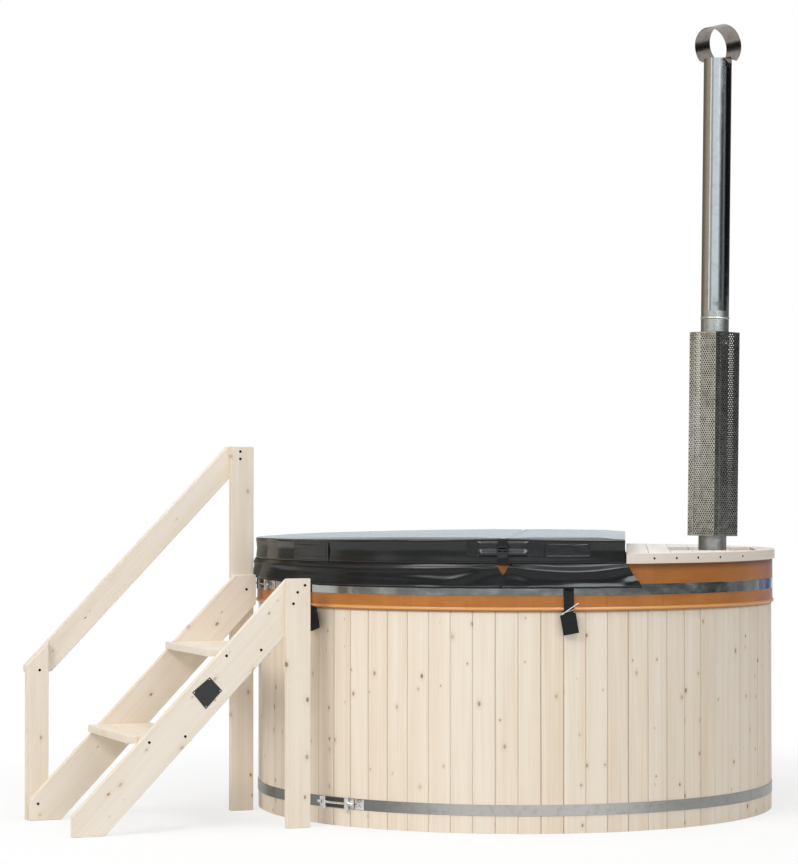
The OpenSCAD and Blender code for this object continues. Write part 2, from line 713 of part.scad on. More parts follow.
// ---- wooden stove lid ---------------------------------------------------------

lid_z = tub_h;
lid_top = lid_z + lid_h;
board_z = lid_top - lid_board_t;
lid_board_count = ceil((lid_in_r - lid_x) / lid_board_w);

module lid_boards() color(spruce)
  for (i = [0:lid_board_count - 1])
    difference() {
      intersection() {
        translate([0, 0, board_z]) cylinder(r = lid_in_r - seat, h = lid_board_t);
        translate([lid_x + i * lid_board_w, -lid_r, board_z])
          cube([lid_board_w - lid_gap, 2 * lid_r, lid_board_t]);
      }
      if (i >= lid_boards_in && i < lid_boards_in + lid_boards_cut)
        translate([lid_x + i * lid_board_w - 1, cut_y[0], board_z - 1])
          cube([lid_board_w + 2, cut_y[1] - cut_y[0], lid_board_t + 2]);
    }

module lid_edge() color(spruce) intersection() {
  translate([0, 0, lid_z]) difference() {
    cylinder(r = lid_r, h = lid_h, $fn = 180);
    translate([0, 0, -1]) cylinder(r = lid_in_r, h = lid_h + 2, $fn = 180);
  }
  translate([lid_x, -lid_r - 1, lid_z - 1]) cube([lid_r, 2 * lid_r + 2, lid_h + 2]);
}

batten_out = lid_in_r - batten_side;
batten_y = [-batten_out, cut_y[0] - batten_w - batten_gap, cut_y[1] + batten_gap, batten_out - batten_w];

module lid_battens() color(spruce)
  for (y = batten_y) let (far = chord(lid_in_r - 12, max(abs(y), abs(y + batten_w))))
    translate([lid_x + 8, y, lid_z]) cube([far - lid_x - 8, batten_w, lid_h - lid_board_t]);

// ---- padded cover -------------------------------------------------------------

// Height of the cover's top at distance x from the fold: it falls towards the edge
function pad_top(x) = cover_z + pad_mid - (pad_mid - pad_edge) * min(abs(x) / cover_r, 1);
// Rounded shoulder and soft crown at distance d from the edge
function pad_z(x, d) = pad_top(x) - pad_shoulder * pow(max(1 - d / pad_shoulder, 0), 2) * 0.8
  + pad_crown * (1 - pow(max(1 - d / pad_soft, 0), 2));

// Outline of a panel between x0 and x1 moved in by d, counter-clockwise: an arc, the
// straight side at x1, an arc, and the straight side at x0 unless the panel ends in a round
function pad_outline(x0, x1, d, n, m) = let (
    r = cover_r - d, whole = x0 <= -cover_r, xa = x0 + d, xb = x1 - d,
    a0 = whole ? 180 : acos(xa / r), a1 = acos(xb / r), ya = chord(r, xa), yb = chord(r, xb))
  concat(
    arc_pts([0, 0], r, -a0, -a1, n),
    [for (i = [1:m - 1]) [xb, yb * (2 * i / m - 1)]],
    arc_pts([0, 0], r, a1, whole ? a0 - (a0 - a1) / n : a0, whole ? n - 1 : n),
    whole ? [] : [for (i = [1:m - 1]) [xa, ya * (1 - 2 * i / m)]]);

// A padded panel: drawn-in sides, a rounded shoulder and a crowned top, on a flat underside;
// its top has a row of points at each of the insets in deep
module padded(x0, x1, n, m, deep) {
  count = len(pad_outline(x0, x1, 0, n, m));
  side = [for (row = [[pad_roll, 0], [0, pad_roll * 1.5], [pad_draw, pad_edge * 0.45],
                      [0, pad_edge - pad_shoulder - pad_roll * 1.5]])
    [for (p = pad_outline(x0, x1, row[0], n, m)) [p[0], p[1], cover_z + row[1]]]];
  top = [for (d = concat([0, pad_shoulder / 3, pad_shoulder], deep))
    [for (p = pad_outline(x0, x1, d, n, m)) [p[0], p[1], pad_z(p[0], d)]]];
  rows = concat(side, top);
  last = len(rows) - 1;
  mid_x = (max(x0, -cover_r) + x1) / 2;
  pts = concat([for (row = rows) for (p = row) p],
    [[mid_x, 0, cover_z], [mid_x, 0, pad_z(mid_x, pad_soft)]]);
  faces = concat(
    [for (j = [0:last - 1]) for (i = [0:count - 1])
      let (a = j * count + i, b = j * count + (i + 1) % count)
      for (t = [[a, a + count, b], [b, a + count, b + count]]) t],
    [for (i = [0:count - 1]) [i, (i + 1) % count, len(pts) - 2]],
    [for (i = [0:count - 1]) [last * count + (i + 1) % count, last * count + i, len(pts) - 1]]);
  polyhedron(points = pts, faces = faces, convexity = 4);
}

module cover_panel_left() color(vinyl)
  padded(-cover_r, -fold_gap / 2, 30, 16, [for (k = [0.05, 0.12, 0.24, 0.38]) k * cover_r]);
module cover_panel_right() color(vinyl)
  padded(fold_gap / 2, chord_x, 7, 18, [for (k = [0.09, 0.2, 0.33, 0.45]) k * chord_x]);

// Inner radius of the hanging flap at turn a and share v of its height
flap_r = cover_r + seat;
lug_corner = [lug_back(hoop_up_r) + lug[1], (lug_pitch + lug[0]) / 2];
lug_share = (tub_h - hoop_up_z - lug[2] * lug_cut) / flap_h; // the lug's shoulder, down the flap
lock_wide_a = 9;                                   // degrees over which the flap swells past the lock
function lock_near(a) = exp(-pow(a / lock_wide_a, 2));
lock_bulge = max((norm(lug_corner) + 3 * seat - flap_r) / lug_share - flap_flare + flap_wave, 0)
  / lock_near(atan(lug_corner[1] / lug_corner[0]));
function flap_swell(a) = flap_flare + flap_wave * sin(a * 23) + lock_bulge * lock_near(a - lock_up_a - 360);
function flap_in(a, v) = flap_r + v * flap_swell(a);

// A hanging flap between turns a0 and a1; cut0 and cut1 lengthen its lower corners
module flap(a0, a1, cut0, cut1, n) {
  rows = 3;
  top_z = cover_z - seat;
  cols = [for (i = [0:n]) i / n];
  pts = [for (k = [0, flap_t]) for (u = cols) for (j = [0:rows])
    let (v = j / rows, a = a0 + cut0 * v + (a1 + cut1 * v - a0 - cut0 * v) * u, r = flap_in(a, v) + k)
      [r * cos(a), r * sin(a), top_z - v * flap_h]];
  w = rows + 1;
  half = (n + 1) * w;
  function grid(o, flip) = [for (i = [0:n - 1]) for (j = [0:rows - 1])
    let (a = o + i * w + j) for (t = [[a, a + 1, a + w], [a + w, a + 1, a + w + 1]])
      flip ? [t[2], t[1], t[0]] : t];
  edge = concat([for (i = [0:n]) i * w], [for (j = [1:rows]) n * w + j],
    [for (i = [1:n]) (n - i) * w + rows], [for (j = [1:rows - 1]) rows - j]);
  m = len(edge);
  skin = [for (i = [0:m - 1]) let (a = edge[i], b = edge[(i + 1) % m])
    for (t = [[a, b, a + half], [b, b + half, a + half]]) t];
  polyhedron(points = pts, faces = concat(grid(0, false), grid(half, true), skin), convexity = 6);
}

notch_a = asin(notch_w / cover_r);
end_a = asin(fold_gap / 2 / cover_r);
chord_a = acos(chord_x / cover_r);
module cover_flap_left() color(vinyl)
  flap(90 + notch_a, 270 - notch_a, end_a - notch_a, notch_a - end_a, 56);
module cover_flap_right() color(vinyl) {
  flap(-90 + notch_a, -chord_a, end_a - notch_a, 3.5, 8);
  flap(chord_a, 90 - notch_a, -3.5, notch_a - end_a, 8);
}

// A strip wrapped on the cover's side between two turns, from a section in (radius, height)
module wrapped(a0, a1, section)
  rotate([0, 0, a0]) rotate_extrude(angle = a1 - a0, $fn = 180) polygon(section);

gusset_a = 5.4;
gusset_d = 9;
gusset_z = [cover_z + 28, cover_z + pad_edge + 2];
gusset = [[flap_r, gusset_z[0]], [flap_r + gusset_d * 0.6, gusset_z[0] + 4],
  [flap_r + gusset_d, gusset_z[0] + 16], [flap_r + gusset_d * 0.9, gusset_z[1] - 12],
  [flap_r + gusset_d * 0.3, gusset_z[1]], [flap_r, gusset_z[1]]];
module fold_gusset_left() color(vinyl) {
  wrapped(90 + end_a, 90 + gusset_a, gusset);
  wrapped(270 - gusset_a, 270 - end_a, gusset);
}
module fold_gusset_right() color(vinyl) {
  wrapped(90 - gusset_a, 90 - end_a, gusset);
  wrapped(270 + end_a, 270 + gusset_a, gusset);
}

buckle = [44, 9, 46];
strap_over = 50;                                   // how far the fold strap hangs below the gusset
module fold_strap() color(vinyl) translate([0, -(flap_r + gusset_d + seat), 0]) {
  translate([-strap_w / 2, -strap_t, gusset_z[0] - strap_over])
    cube([strap_w, strap_t, gusset_z[1] - gusset_z[0] + strap_over + 6]);
  translate([-buckle[0] / 2, -buckle[1], gusset_z[0] - 8])
    cube([buckle[0], buckle[1] - strap_t / 2, buckle[2]]);
}

patch_t = 2.5;
function patch(z0, z1) =
  [[flap_r, z0], [flap_r + patch_t, z0], [flap_r + patch_t, z1], [flap_r, z1]];
module handle_patch_left() color(vinyl)
  wrapped(-141.7, -130, patch(cover_z + 2, cover_z + pad_edge - 8));
module handle_patch_right() color(vinyl)
  wrapped(-81.6, -72.1, patch(cover_z + 24, cover_z + pad_edge));

// A tie strap hangs inside the flap; its spare end is folded up and tied
strap_r = skirt_r + lip_d + seat;
strap_half_a = asin(strap_w / 2 / strap_r);
module tie_strap(a) rotate([0, 0, a]) {
  turn = a < 0 && a > -90 ? a : (a + 360) % 360;
  swell = min([for (d = [-1, 0, 1]) flap_swell(turn + d * strap_half_a)]);
  top = cover_z - seat - flap_h * (norm([strap_r + strap_t, strap_w / 2]) + 2 * seat - flap_r) / swell;
  translate([strap_r, -strap_w / 2, strap_z]) cube([strap_t, strap_w, top - strap_z]);
  translate([strap_r + strap_t / 2, -bundle[0] / 2, strap_z]) cube([bundle[1], bundle[0], bundle[2]]);
}
module tie_straps_left() color(vinyl) for (a = strap_left_a) tie_strap(a);
module tie_straps_right() color(vinyl) for (a = strap_right_a) tie_strap(a);

// ---- stairs -------------------------------------------------------------------

// x runs up the stairs, y across to the far side
module on_stairs() rotate([0, 0, stair_turn])
  translate([-clad_r - stair_gap - stringer_run, stair_side, 0]) children();
// A board cut to an outline in (run, height), standing at offset y
module plank(y, pts)
  on_stairs() translate([0, y + plank_t, 0]) rotate([90, 0, 0]) linear_extrude(plank_t) polygon(pts);

stringer_h = tub_h - stair_drop;
stair_slope = (stringer_h - toe_h) / (stringer_run - top_cut);
far_y = plank_t + stair_w;
function stringer_pts(s) = [[s, 0], [s + toe_l, 0],
  [s + stringer_run, (stringer_run - toe_l) * stair_slope], [s + stringer_run, stringer_h],
  [s + stringer_run - top_cut, stringer_h], [s, toe_h]];
// The handrail's upper edge passes the low post's short side and the tall post's top
rail_s = -rail_start - far_back / 3;
function rail_z_at(s) = low_post_h + (s - rail_s) * stair_slope;
post_s = stringer_run - post_w;
rail_end = post_s - far_back + post_w;
tall_post_h = rail_z_at(rail_end - rail_flat);

module stair_stringer_near() color(spruce) plank(0, stringer_pts(0));
module stair_stringer_far() color(spruce) plank(far_y, stringer_pts(-far_back));
module stair_post_near() color(spruce) plank(-plank_t, [[post_s, 0], [stringer_run, 0],
  [stringer_run, stringer_h + post_over], [post_s, stringer_h + post_over]]);
module stair_post_tall() color(spruce) let (s = post_s - far_back)
  plank(far_y + plank_t, [[s, 0], [s + post_w, 0], [s + post_w, tall_post_h], [s, tall_post_h]]);
module stair_post_low() color(spruce) let (s = rail_s, w = post_w - 6)
  plank(far_y + plank_t, [[s, 0], [s + w, 0], [s + w, rail_z_at(s + w)], [s, low_post_h]]);

rail_drop = post_w / cos(atan(stair_slope));       // the handrail's height, measured upright
rail_toe = 24;                                     // upright cut at the handrail's low end
module stair_handrail() color(spruce) plank(far_y + 2 * plank_t, let (
    low = low_post_h - rail_toe, s_low = rail_s + (rail_drop - rail_toe) / stair_slope,
    s_top = rail_end - rail_flat)
  [[rail_s, low], [s_low, low],
   [rail_end, rail_z_at(rail_end) - rail_drop], [rail_end, tall_post_h],
   [s_top, tall_post_h], [rail_s, low_post_h]]);

module tread(i) on_stairs()
  translate([tread_s[i] - far_back / 2, plank_t, tread_share[i] * tub_h - tread_t])
  cube([tread_d, stair_w, tread_t]);
module stair_tread_lower() color(spruce) tread(0);
module stair_tread_upper() color(spruce) tread(1);

// ---- drain --------------------------------------------------------------------

drain_in = bath_r(drain_z) - 12;
valve_at = clad_r + 14;
valve_r = drain_r + 7;
module on_drain() rotate([0, 0, drain_a]) translate([0, 0, drain_z]) rotate([0, 90, 0]) children();

flange_t = 6;
flange_at = chord(bath_r(drain_z - flange_r), flange_r) - 2 * seat - flange_t;
module drain_flange() color(steel) on_drain() translate([0, 0, flange_at]) difference() {
  cylinder(r = flange_r, h = flange_t);
  translate([0, 0, -1]) cylinder(r = drain_r + seat, h = flange_t + 2);
}

module drain_pipe() color(steel) on_drain() translate([0, 0, drain_in]) difference() {
  cylinder(r = drain_r, h = valve_at - drain_in);
  translate([0, 0, -1]) cylinder(r = drain_r - drain_t, h = valve_at - drain_in + 2);
}

bonnet_h = 16;
stem_d = 9;
module drain_valve() color(steel) difference() {
  union() {
    on_drain() translate([0, 0, valve_at]) cylinder(r = valve_r, h = valve_l, $fn = 48);
    on_drain() translate([0, 0, valve_at + valve_l]) cylinder(r = drain_r, h = tail_l);
    rotate([0, 0, drain_a]) translate([valve_at + valve_l / 2, 0, drain_z])
      cylinder(r = stem_d / 2 + 5, h = valve_r + bonnet_h);
  }
  on_drain() translate([0, 0, valve_at + valve_l * 0.75])
    cylinder(r = drain_r - drain_t, h = valve_l + tail_l);
  rotate([0, 0, drain_a]) translate([valve_at + valve_l / 2, 0, drain_z + valve_r])
    cylinder(d = stem_d + 2 * run, h = bonnet_h + 1);
}

// Shown shut: the lever lies across the pipe
module drain_lever() color(dark_steel) rotate([0, 0, drain_a])
  translate([valve_at + valve_l / 2, 0, drain_z + valve_r + bonnet_h]) {
    translate([0, 0, -bonnet_h + 2]) cylinder(d = stem_d, h = bonnet_h);
    translate([0, 0, seat]) linear_extrude(4) {
      circle(d = stem_d + 12);
      translate([-8, 0]) square([16, lever_l]);
      translate([0, lever_l]) circle(r = 8);
    }
  }

base_bearers();
base_deck();
wall_rings();
cladding_boards();
liner();
hoop_lower();
hoop_upper();
hoop_lugs();
hoop_bolts();
bench_slats();
bench_bearers();
bench_legs();
fence_slats();
fence_rails();
firebox();
stove_top();
stove_feet();
fire_grate();
hatch_plate();
hatch_handle();
hatch_pin();
air_slider();
chimney_lower();
chimney_upper();
rain_cap();
cap_lugs();
guard_panel_1();
guard_panel_2();
guard_panel_3();
guard_panel_4();
guard_brackets();
lid_boards();
lid_edge();
lid_battens();
cover_panel_left();
cover_panel_right();
cover_flap_left();
cover_flap_right();
fold_gusset_left();
fold_gusset_right();
fold_strap();
handle_patch_left();
handle_patch_right();
tie_straps_left();
tie_straps_right();
stair_stringer_near();
stair_stringer_far();
stair_tread_lower();
stair_tread_upper();
stair_post_near();
stair_post_tall();
stair_post_low();
stair_handrail();
drain_flange();
drain_pipe();
drain_valve();
drain_lever();
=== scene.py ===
# %% [markdown]
# # A wooden hot tub, dressed on its CAD frame
# The tub, its stove, its folding cover and its stairs were built as exact solids. This lesson keeps
# them as a fixed frame and gives every piece the surface of the real thing: planed spruce, a moulded
# liner, steel hoops, padded vinyl and perforated sheet. All sizes are in metres.

# %% Load the frame
import math
import bpy, bmesh
from mathutils import Matrix, Vector, noise


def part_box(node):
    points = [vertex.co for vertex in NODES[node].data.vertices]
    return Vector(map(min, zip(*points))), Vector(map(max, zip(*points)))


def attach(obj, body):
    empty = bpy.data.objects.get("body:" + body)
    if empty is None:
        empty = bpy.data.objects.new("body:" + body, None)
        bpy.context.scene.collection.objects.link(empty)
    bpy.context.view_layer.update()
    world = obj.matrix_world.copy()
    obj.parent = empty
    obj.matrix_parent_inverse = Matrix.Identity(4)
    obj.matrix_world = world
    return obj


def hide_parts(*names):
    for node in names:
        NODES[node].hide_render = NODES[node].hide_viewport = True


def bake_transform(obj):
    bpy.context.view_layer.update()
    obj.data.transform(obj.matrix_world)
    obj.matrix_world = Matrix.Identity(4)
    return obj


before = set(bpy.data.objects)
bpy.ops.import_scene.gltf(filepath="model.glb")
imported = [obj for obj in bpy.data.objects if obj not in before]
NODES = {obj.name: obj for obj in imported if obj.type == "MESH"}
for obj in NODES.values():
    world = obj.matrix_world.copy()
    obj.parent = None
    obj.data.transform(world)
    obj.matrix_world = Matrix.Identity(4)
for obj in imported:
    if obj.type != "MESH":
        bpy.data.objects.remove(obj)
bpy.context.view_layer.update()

# %% [markdown]
# ## Camera
# The camera comes first, because it decides what has to be good from close by. Its place and lens were
# found by fitting the ellipses of the two hoops, so a point of the model falls on its own pixel. A
# lens can be given in pixels: the sensor's long side stands for the long side of the picture.

# %% Camera
PHOTO_SIZE = (798, 864)
FOCAL_PX = 2824.3
CENTRE_PX = (422.55, 439.26)
lens = bpy.data.cameras.new("photo_camera")
lens.sensor_width = 36
lens.lens = FOCAL_PX * lens.sensor_width / max(PHOTO_SIZE)
lens.shift_x = (PHOTO_SIZE[0] / 2 - CENTRE_PX[0]) / max(PHOTO_SIZE)
lens.shift_y = (CENTRE_PX[1] - PHOTO_SIZE[1] / 2) / max(PHOTO_SIZE)
camera = bpy.data.objects.new("photo_camera", lens)
camera.location = (0.4365, -11.0384, 1.24)
camera.rotation_euler = [math.radians(a) for a in (90.92, 0, 4.12)]
bpy.context.scene.collection.objects.link(camera)
bpy.context.scene.camera = camera
print("lens of", round(lens.lens, 1), "mm")

# %% [markdown]
# ## Helpers for meshes
# Three small helpers make nearly all the shapes: a mesh from points and faces, a grid whose points a
# rule gives, and a profile turned about the Z axis. Shading is smooth, with a sharp line wherever two
# faces meet at a clear angle, so few faces still look round.

# %% Mesh helpers
def add_mesh(name, points, faces, smooth=40):
    mesh = bpy.data.meshes.new(name)
    mesh.from_pydata([tuple(p) for p in points], [], faces)
    mesh.update()
    mesh.shade_smooth()
    mesh.set_sharp_from_angle(angle=math.radians(smooth))
    obj = bpy.data.objects.new(name, mesh)
    bpy.context.scene.collection.objects.link(obj)
    return obj


def grid_faces(across, along, ring=False):
    wide = across if ring else across + 1
    return [(j * wide + i, j * wide + (i + 1) % wide, (j + 1) * wide + (i + 1) % wide, (j + 1) * wide + i)
            for j in range(along) for i in range(across)]


def skin(name, shape, across, along, smooth=60):
    """An open sheet: shape(u, v) gives the point at the shares u and v, each from 0 to 1."""
    points = [shape(i / across, j / along) for j in range(along + 1) for i in range(across + 1)]
    return add_mesh(name, points, grid_faces(across, along), smooth)


def turned(name, profile, steps=256, smooth=40):
    """A closed profile of (radius, height) pairs, counter-clockwise, turned about Z."""
    n = len(profile)
    points = [(r * math.cos(a), r * math.sin(a), z)
              for a in (2 * math.pi * k / steps for k in range(steps)) for r, z in profile]
    faces = [(k * n + i, ((k + 1) % steps) * n + i, ((k + 1) % steps) * n + (i + 1) % n, k * n + (i + 1) % n)
             for k in range(steps) for i in range(n)]
    obj = add_mesh(name, points, faces, smooth)
    if min(r for r, _ in profile) == 0:
        bm = bmesh.new()
        bm.from_mesh(obj.data)
        bmesh.ops.remove_doubles(bm, verts=bm.verts[:], dist=1e-7)
        bm.to_mesh(obj.data)
        bm.free()
    return obj


def clean_copy(node, name=None, smooth=30):
    """A CAD node's triangles are loose, so a copy is merged before it is shaded smoothly."""
    bm = bmesh.new()
    bm.from_mesh(NODES[node].data)
    bmesh.ops.remove_doubles(bm, verts=bm.verts[:], dist=2e-5)
    obj = add_mesh(name or node + "_smooth", [], [], smooth)
    bm.to_mesh(obj.data)
    bm.free()
    obj.data.shade_smooth()
    obj.data.set_sharp_from_angle(angle=math.radians(smooth))
    return obj


def on_wall(turn, radius, z):
    """A point on an upright cylinder round the tub's axis; turn is in degrees from +X."""
    a = math.radians(turn)
    return Vector((radius * math.cos(a), radius * math.sin(a), z))


def ease(t):
    t = min(max(t, 0.0), 1.0)
    return t * t * (3 - 2 * t)


# %% [markdown]
# ## Helpers for materials
# A material is a small tree of nodes. `put` adds one node and joins or sets its inputs in one line.
# An effect that several materials share becomes a group with named sockets, so that each material
# places it with its own values; the shader itself always stays in the material.

# %% Node helpers
def put(tree, kind, inputs=None, **settings):
    node = tree.nodes.new(kind)
    for key, value in settings.items():
        setattr(node, key, value)
    for key, value in (inputs or {}).items():
        if isinstance(value, bpy.types.NodeSocket):
            tree.links.new(value, node.inputs[key])
        else:
            node.inputs[key].default_value = value
    return node


def calc(tree, operation, *terms):
    return put(tree, "ShaderNodeMath", dict(enumerate(terms)), operation=operation).outputs[0]


def step(tree, value, low, high, to_low=0.0, to_high=1.0):
    """Maps low..high smoothly to to_low..to_high."""
    return put(tree, "ShaderNodeMapRange", {0: value, 1: low, 2: high, 3: to_low, 4: to_high},
               interpolation_type="SMOOTHSTEP").outputs[0]


def tint(tree, share, first, second, mode="MIX"):
    return put(tree, "ShaderNodeMix", {0: share, 6: first, 7: second}, data_type="RGBA",
               blend_type=mode).outputs[2]


def scaled(tree, vector, by):
    return put(tree, "ShaderNodeVectorMath", {0: vector, 1: by}, operation="MULTIPLY").outputs[0]


def cloud(tree, vector, scale=1.0, detail=2.0):
    return put(tree, "ShaderNodeTexNoise", {"Vector": vector, "Scale": scale, "Detail": detail}).outputs["Fac"]


def start_group(name, takes, gives):
    tree = bpy.data.node_groups.new(name, "ShaderNodeTree")
    for label, kind, value in takes:
        socket = tree.interface.new_socket(label, in_out="INPUT", socket_type="NodeSocket" + kind)
        if value is not None:
            socket.default_value = value
    for label, kind in gives:
        tree.interface.new_socket(label, in_out="OUTPUT", socket_type="NodeSocket" + kind)
    return tree, tree.nodes.new("NodeGroupInput").outputs, tree.nodes.new("NodeGroupOutput").inputs


def use_group(tree, group, **inputs):
    node = put(tree, "ShaderNodeGroup", node_tree=group)
    for key, value in inputs.items():
        socket = node.inputs[key.replace("_", " ")]
        if isinstance(value, bpy.types.NodeSocket):
            tree.links.new(value, socket)
        else:
            socket.default_value = value
    return node.outputs


def start_finish(name, **values):
    """A material with one Principled shader; values set the shader's own sockets."""
    material = bpy.data.materials.new(name)
    material.use_nodes = True
    tree = material.node_tree
    shader = tree.nodes["Principled BSDF"]
    for key, value in values.items():
        shader.inputs[key.replace("_", " ")].default_value = value
    place = put(tree, "ShaderNodeTexCoord").outputs["Object"]
    return material, tree, shader, place


def relief(tree, shader, height, distance, strength=1.0):
    bump = put(tree, "ShaderNodeBump", {"Height": height, "Distance": distance, "Strength": strength})
    tree.links.new(bump.outputs[0], shader.inputs["Normal"])


def join(tree, shader, **sockets):
    for key, value in sockets.items():
        tree.links.new(value, shader.inputs[key.replace("_", " ")])


FINISHES = {}
print("helpers ready")

# %% [markdown]
# ## Spruce
# Planed spruce is pale cream with soft streaks along the board, thin darker growth rings and small
# brown knots that the grain bends round. The group reads a point in the board's own frame: across,
# through and along. A board's number shifts the pattern, so no two boards show the same piece of tree.

# %% Group: spruce grain
spruce_grain, take, give = start_group(
    "spruce_grain",
    [("Vector", "Vector", None), ("Board", "Float", 0.0), ("Pale", "Color", (0.8, 0.7, 0.56, 1)),
     ("Warm", "Color", (0.7, 0.54, 0.38, 1)), ("Knots", "Float", 0.55)],
    [("Color", "Color"), ("Roughness", "Float"), ("Height", "Float")])
t = spruce_grain
shift = put(t, "ShaderNodeCombineXYZ", {0: calc(t, "MULTIPLY", take["Board"], 0.371),
                                        1: calc(t, "MULTIPLY", take["Board"], 1.93),
                                        2: calc(t, "MULTIPLY", take["Board"], 5.17)}).outputs[0]
point = put(t, "ShaderNodeVectorMath", {0: take["Vector"], 1: shift}, operation="ADD").outputs[0]
x, y, z = put(t, "ShaderNodeSeparateXYZ", {0: point}).outputs
cells = put(t, "ShaderNodeTexVoronoi",
            {"Vector": put(t, "ShaderNodeCombineXYZ", {0: calc(t, "MULTIPLY", x, 13.0),
                                                       1: calc(t, "MULTIPLY", z, 8.0)}).outputs[0],
             "Scale": 1.0}, voronoi_dimensions="2D")
away = calc(t, "DIVIDE", cells.outputs["Distance"], 13.0)
chance, shade, _ = put(t, "ShaderNodeSeparateColor", {0: cells.outputs["Color"]}).outputs
knot_r = calc(t, "MULTIPLY", calc(t, "MAXIMUM", calc(t, "SUBTRACT", calc(t, "ADD", chance, take["Knots"]), 1.0), 0.0), 0.0115)
has_knot = step(t, knot_r, 0.0012, 0.0022)
knot = calc(t, "MULTIPLY", has_knot, step(t, away, calc(t, "MULTIPLY", knot_r, 1.05), calc(t, "MULTIPLY", knot_r, 0.6)))
halo = calc(t, "MULTIPLY", has_knot, step(t, away, calc(t, "MULTIPLY", knot_r, 3.2), knot_r))
bend = calc(t, "MULTIPLY", calc(t, "SUBTRACT", cloud(t, scaled(t, point, (3, 3, 1.1))), 0.5), 0.03)
ring_x = calc(t, "ADD", calc(t, "ADD", x, bend), calc(t, "MULTIPLY", halo, 0.004))
ring = calc(t, "POWER", step(t, calc(t, "SINE", calc(t, "MULTIPLY", ring_x, 2 * math.pi / 0.0062)), -1.0, 1.0), 3.0)
wide = cloud(t, scaled(t, point, (26, 26, 0.8)), detail=3.0)
fine = cloud(t, scaled(t, point, (190, 190, 3.2)), detail=4.0)
streak = calc(t, "ADD", calc(t, "MULTIPLY", step(t, wide, 0.3, 0.72), 0.5),
              calc(t, "ADD", calc(t, "MULTIPLY", ring, 0.28), calc(t, "MULTIPLY", step(t, fine, 0.35, 0.7), 0.22)))
lot, lot_hue, _ = put(t, "ShaderNodeSeparateColor", {0: put(t, "ShaderNodeTexWhiteNoise", {"W": take["Board"]}, noise_dimensions="1D").outputs["Color"]}).outputs
wood = tint(t, calc(t, "MULTIPLY", streak, calc(t, "MULTIPLY_ADD", lot, 0.4, 0.55)), take["Pale"], take["Warm"])
wood = tint(t, calc(t, "MULTIPLY", lot_hue, 0.45), wood, tint(t, 0.5, wood, (0.8, 0.66, 0.5, 1)))
wood = tint(t, calc(t, "MULTIPLY", halo, 0.35), wood, take["Warm"])
dark = tint(t, shade, (0.2, 0.135, 0.08, 1), (0.48, 0.36, 0.24, 1))
wood = tint(t, calc(t, "MULTIPLY", knot, calc(t, "MULTIPLY_ADD", shade, -0.4, 0.9)), wood, dark)
t.links.new(wood, give["Color"])
t.links.new(calc(t, "MULTIPLY_ADD", streak, -0.12, 0.62), give["Roughness"])
t.links.new(calc(t, "SUBTRACT", calc(t, "MULTIPLY", streak, 0.6), calc(t, "MULTIPLY", knot, 0.5)), give["Height"])
print("spruce grain:", len(t.nodes), "nodes")

# %% [markdown]
# The tub's wall is 77 boards in a ring, one CAD node that stays as it is. Its material works out the
# board and the place in it from the angle round the tub, which is cheaper than 77 objects and stays
# right at any pose, since Object coordinates move with the node.

# %% Finish: wall boards
BOARDS = 77
SEAM = math.radians(-91.6)
BOARD_STEP = 2 * math.pi / BOARDS
PALE = (0.83, 0.757, 0.655, 1)
WARM = (0.665, 0.515, 0.36, 1)

finish, t, shader, place = start_finish("wall_boards", Specular_IOR_Level=0.35)
x, y, z = put(t, "ShaderNodeSeparateXYZ", {0: place}).outputs
turn = calc(t, "DIVIDE", calc(t, "SUBTRACT", calc(t, "ARCTAN2", y, x), SEAM), BOARD_STEP)
share = calc(t, "FRACT", turn)
across = calc(t, "MULTIPLY", calc(t, "SUBTRACT", share, 0.5), BOARD_STEP * 0.99)
depth = calc(t, "SQRT", calc(t, "ADD", calc(t, "MULTIPLY", x, x), calc(t, "MULTIPLY", y, y)))
grain = use_group(t, spruce_grain, Vector=put(t, "ShaderNodeCombineXYZ", {0: across, 1: depth, 2: z}).outputs[0],
                  Board=calc(t, "FLOOR", turn), Pale=PALE, Warm=WARM, Knots=0.6)
edge = step(t, calc(t, "ABSOLUTE", calc(t, "SUBTRACT", share, 0.5)), 0.462, 0.492)
seam = put(t, "ShaderNodeTexWhiteNoise", {"W": calc(t, "FLOOR", calc(t, "ADD", turn, 0.5))}, noise_dimensions="1D").outputs["Value"]
edge = calc(t, "MULTIPLY", edge, calc(t, "MULTIPLY_ADD", calc(t, "POWER", seam, 2.0), 0.62, 0.1))
wood = tint(t, edge, grain["Color"], (0.36, 0.25, 0.15, 1))
# Above z 0.779 the boards turn darker up to the liner's lip: a painted shadow of the lip.
join(t, shader, Base_Color=tint(t, step(t, z, 0.779, 0.789, 0.0, 0.6), wood, (0.2, 0.11, 0.05, 1)), Roughness=grain["Roughness"])
relief(t, shader, grain["Height"], 0.0006, 0.5)
FINISHES["wall_boards"] = finish
print(BOARDS, "boards of", round(BOARD_STEP * 0.997, 4), "m")

# %% [markdown]
# Loose boards, such as the stairs, lie in all directions. Each gets a copy of its CAD node with eased
# edges, and every point keeps its place in the board's own frame in an attribute called `grain`, so one
# material serves them all.

# %% Finish: planed boards
def planed_finish(name, pale, warm, knots):
    finish, t, shader, _ = start_finish(name, Specular_IOR_Level=0.35)
    inside = put(t, "ShaderNodeAttribute", attribute_name="grain").outputs["Vector"]
    number = put(t, "ShaderNodeAttribute", attribute_name="board").outputs["Fac"]
    grain = use_group(t, spruce_grain, Vector=inside, Board=number, Pale=pale, Warm=warm, Knots=knots)
    join(t, shader, Base_Color=grain["Color"], Roughness=grain["Roughness"])
    relief(t, shader, grain["Height"], 0.0006, 0.5)
    FINISHES[name] = finish
    return finish


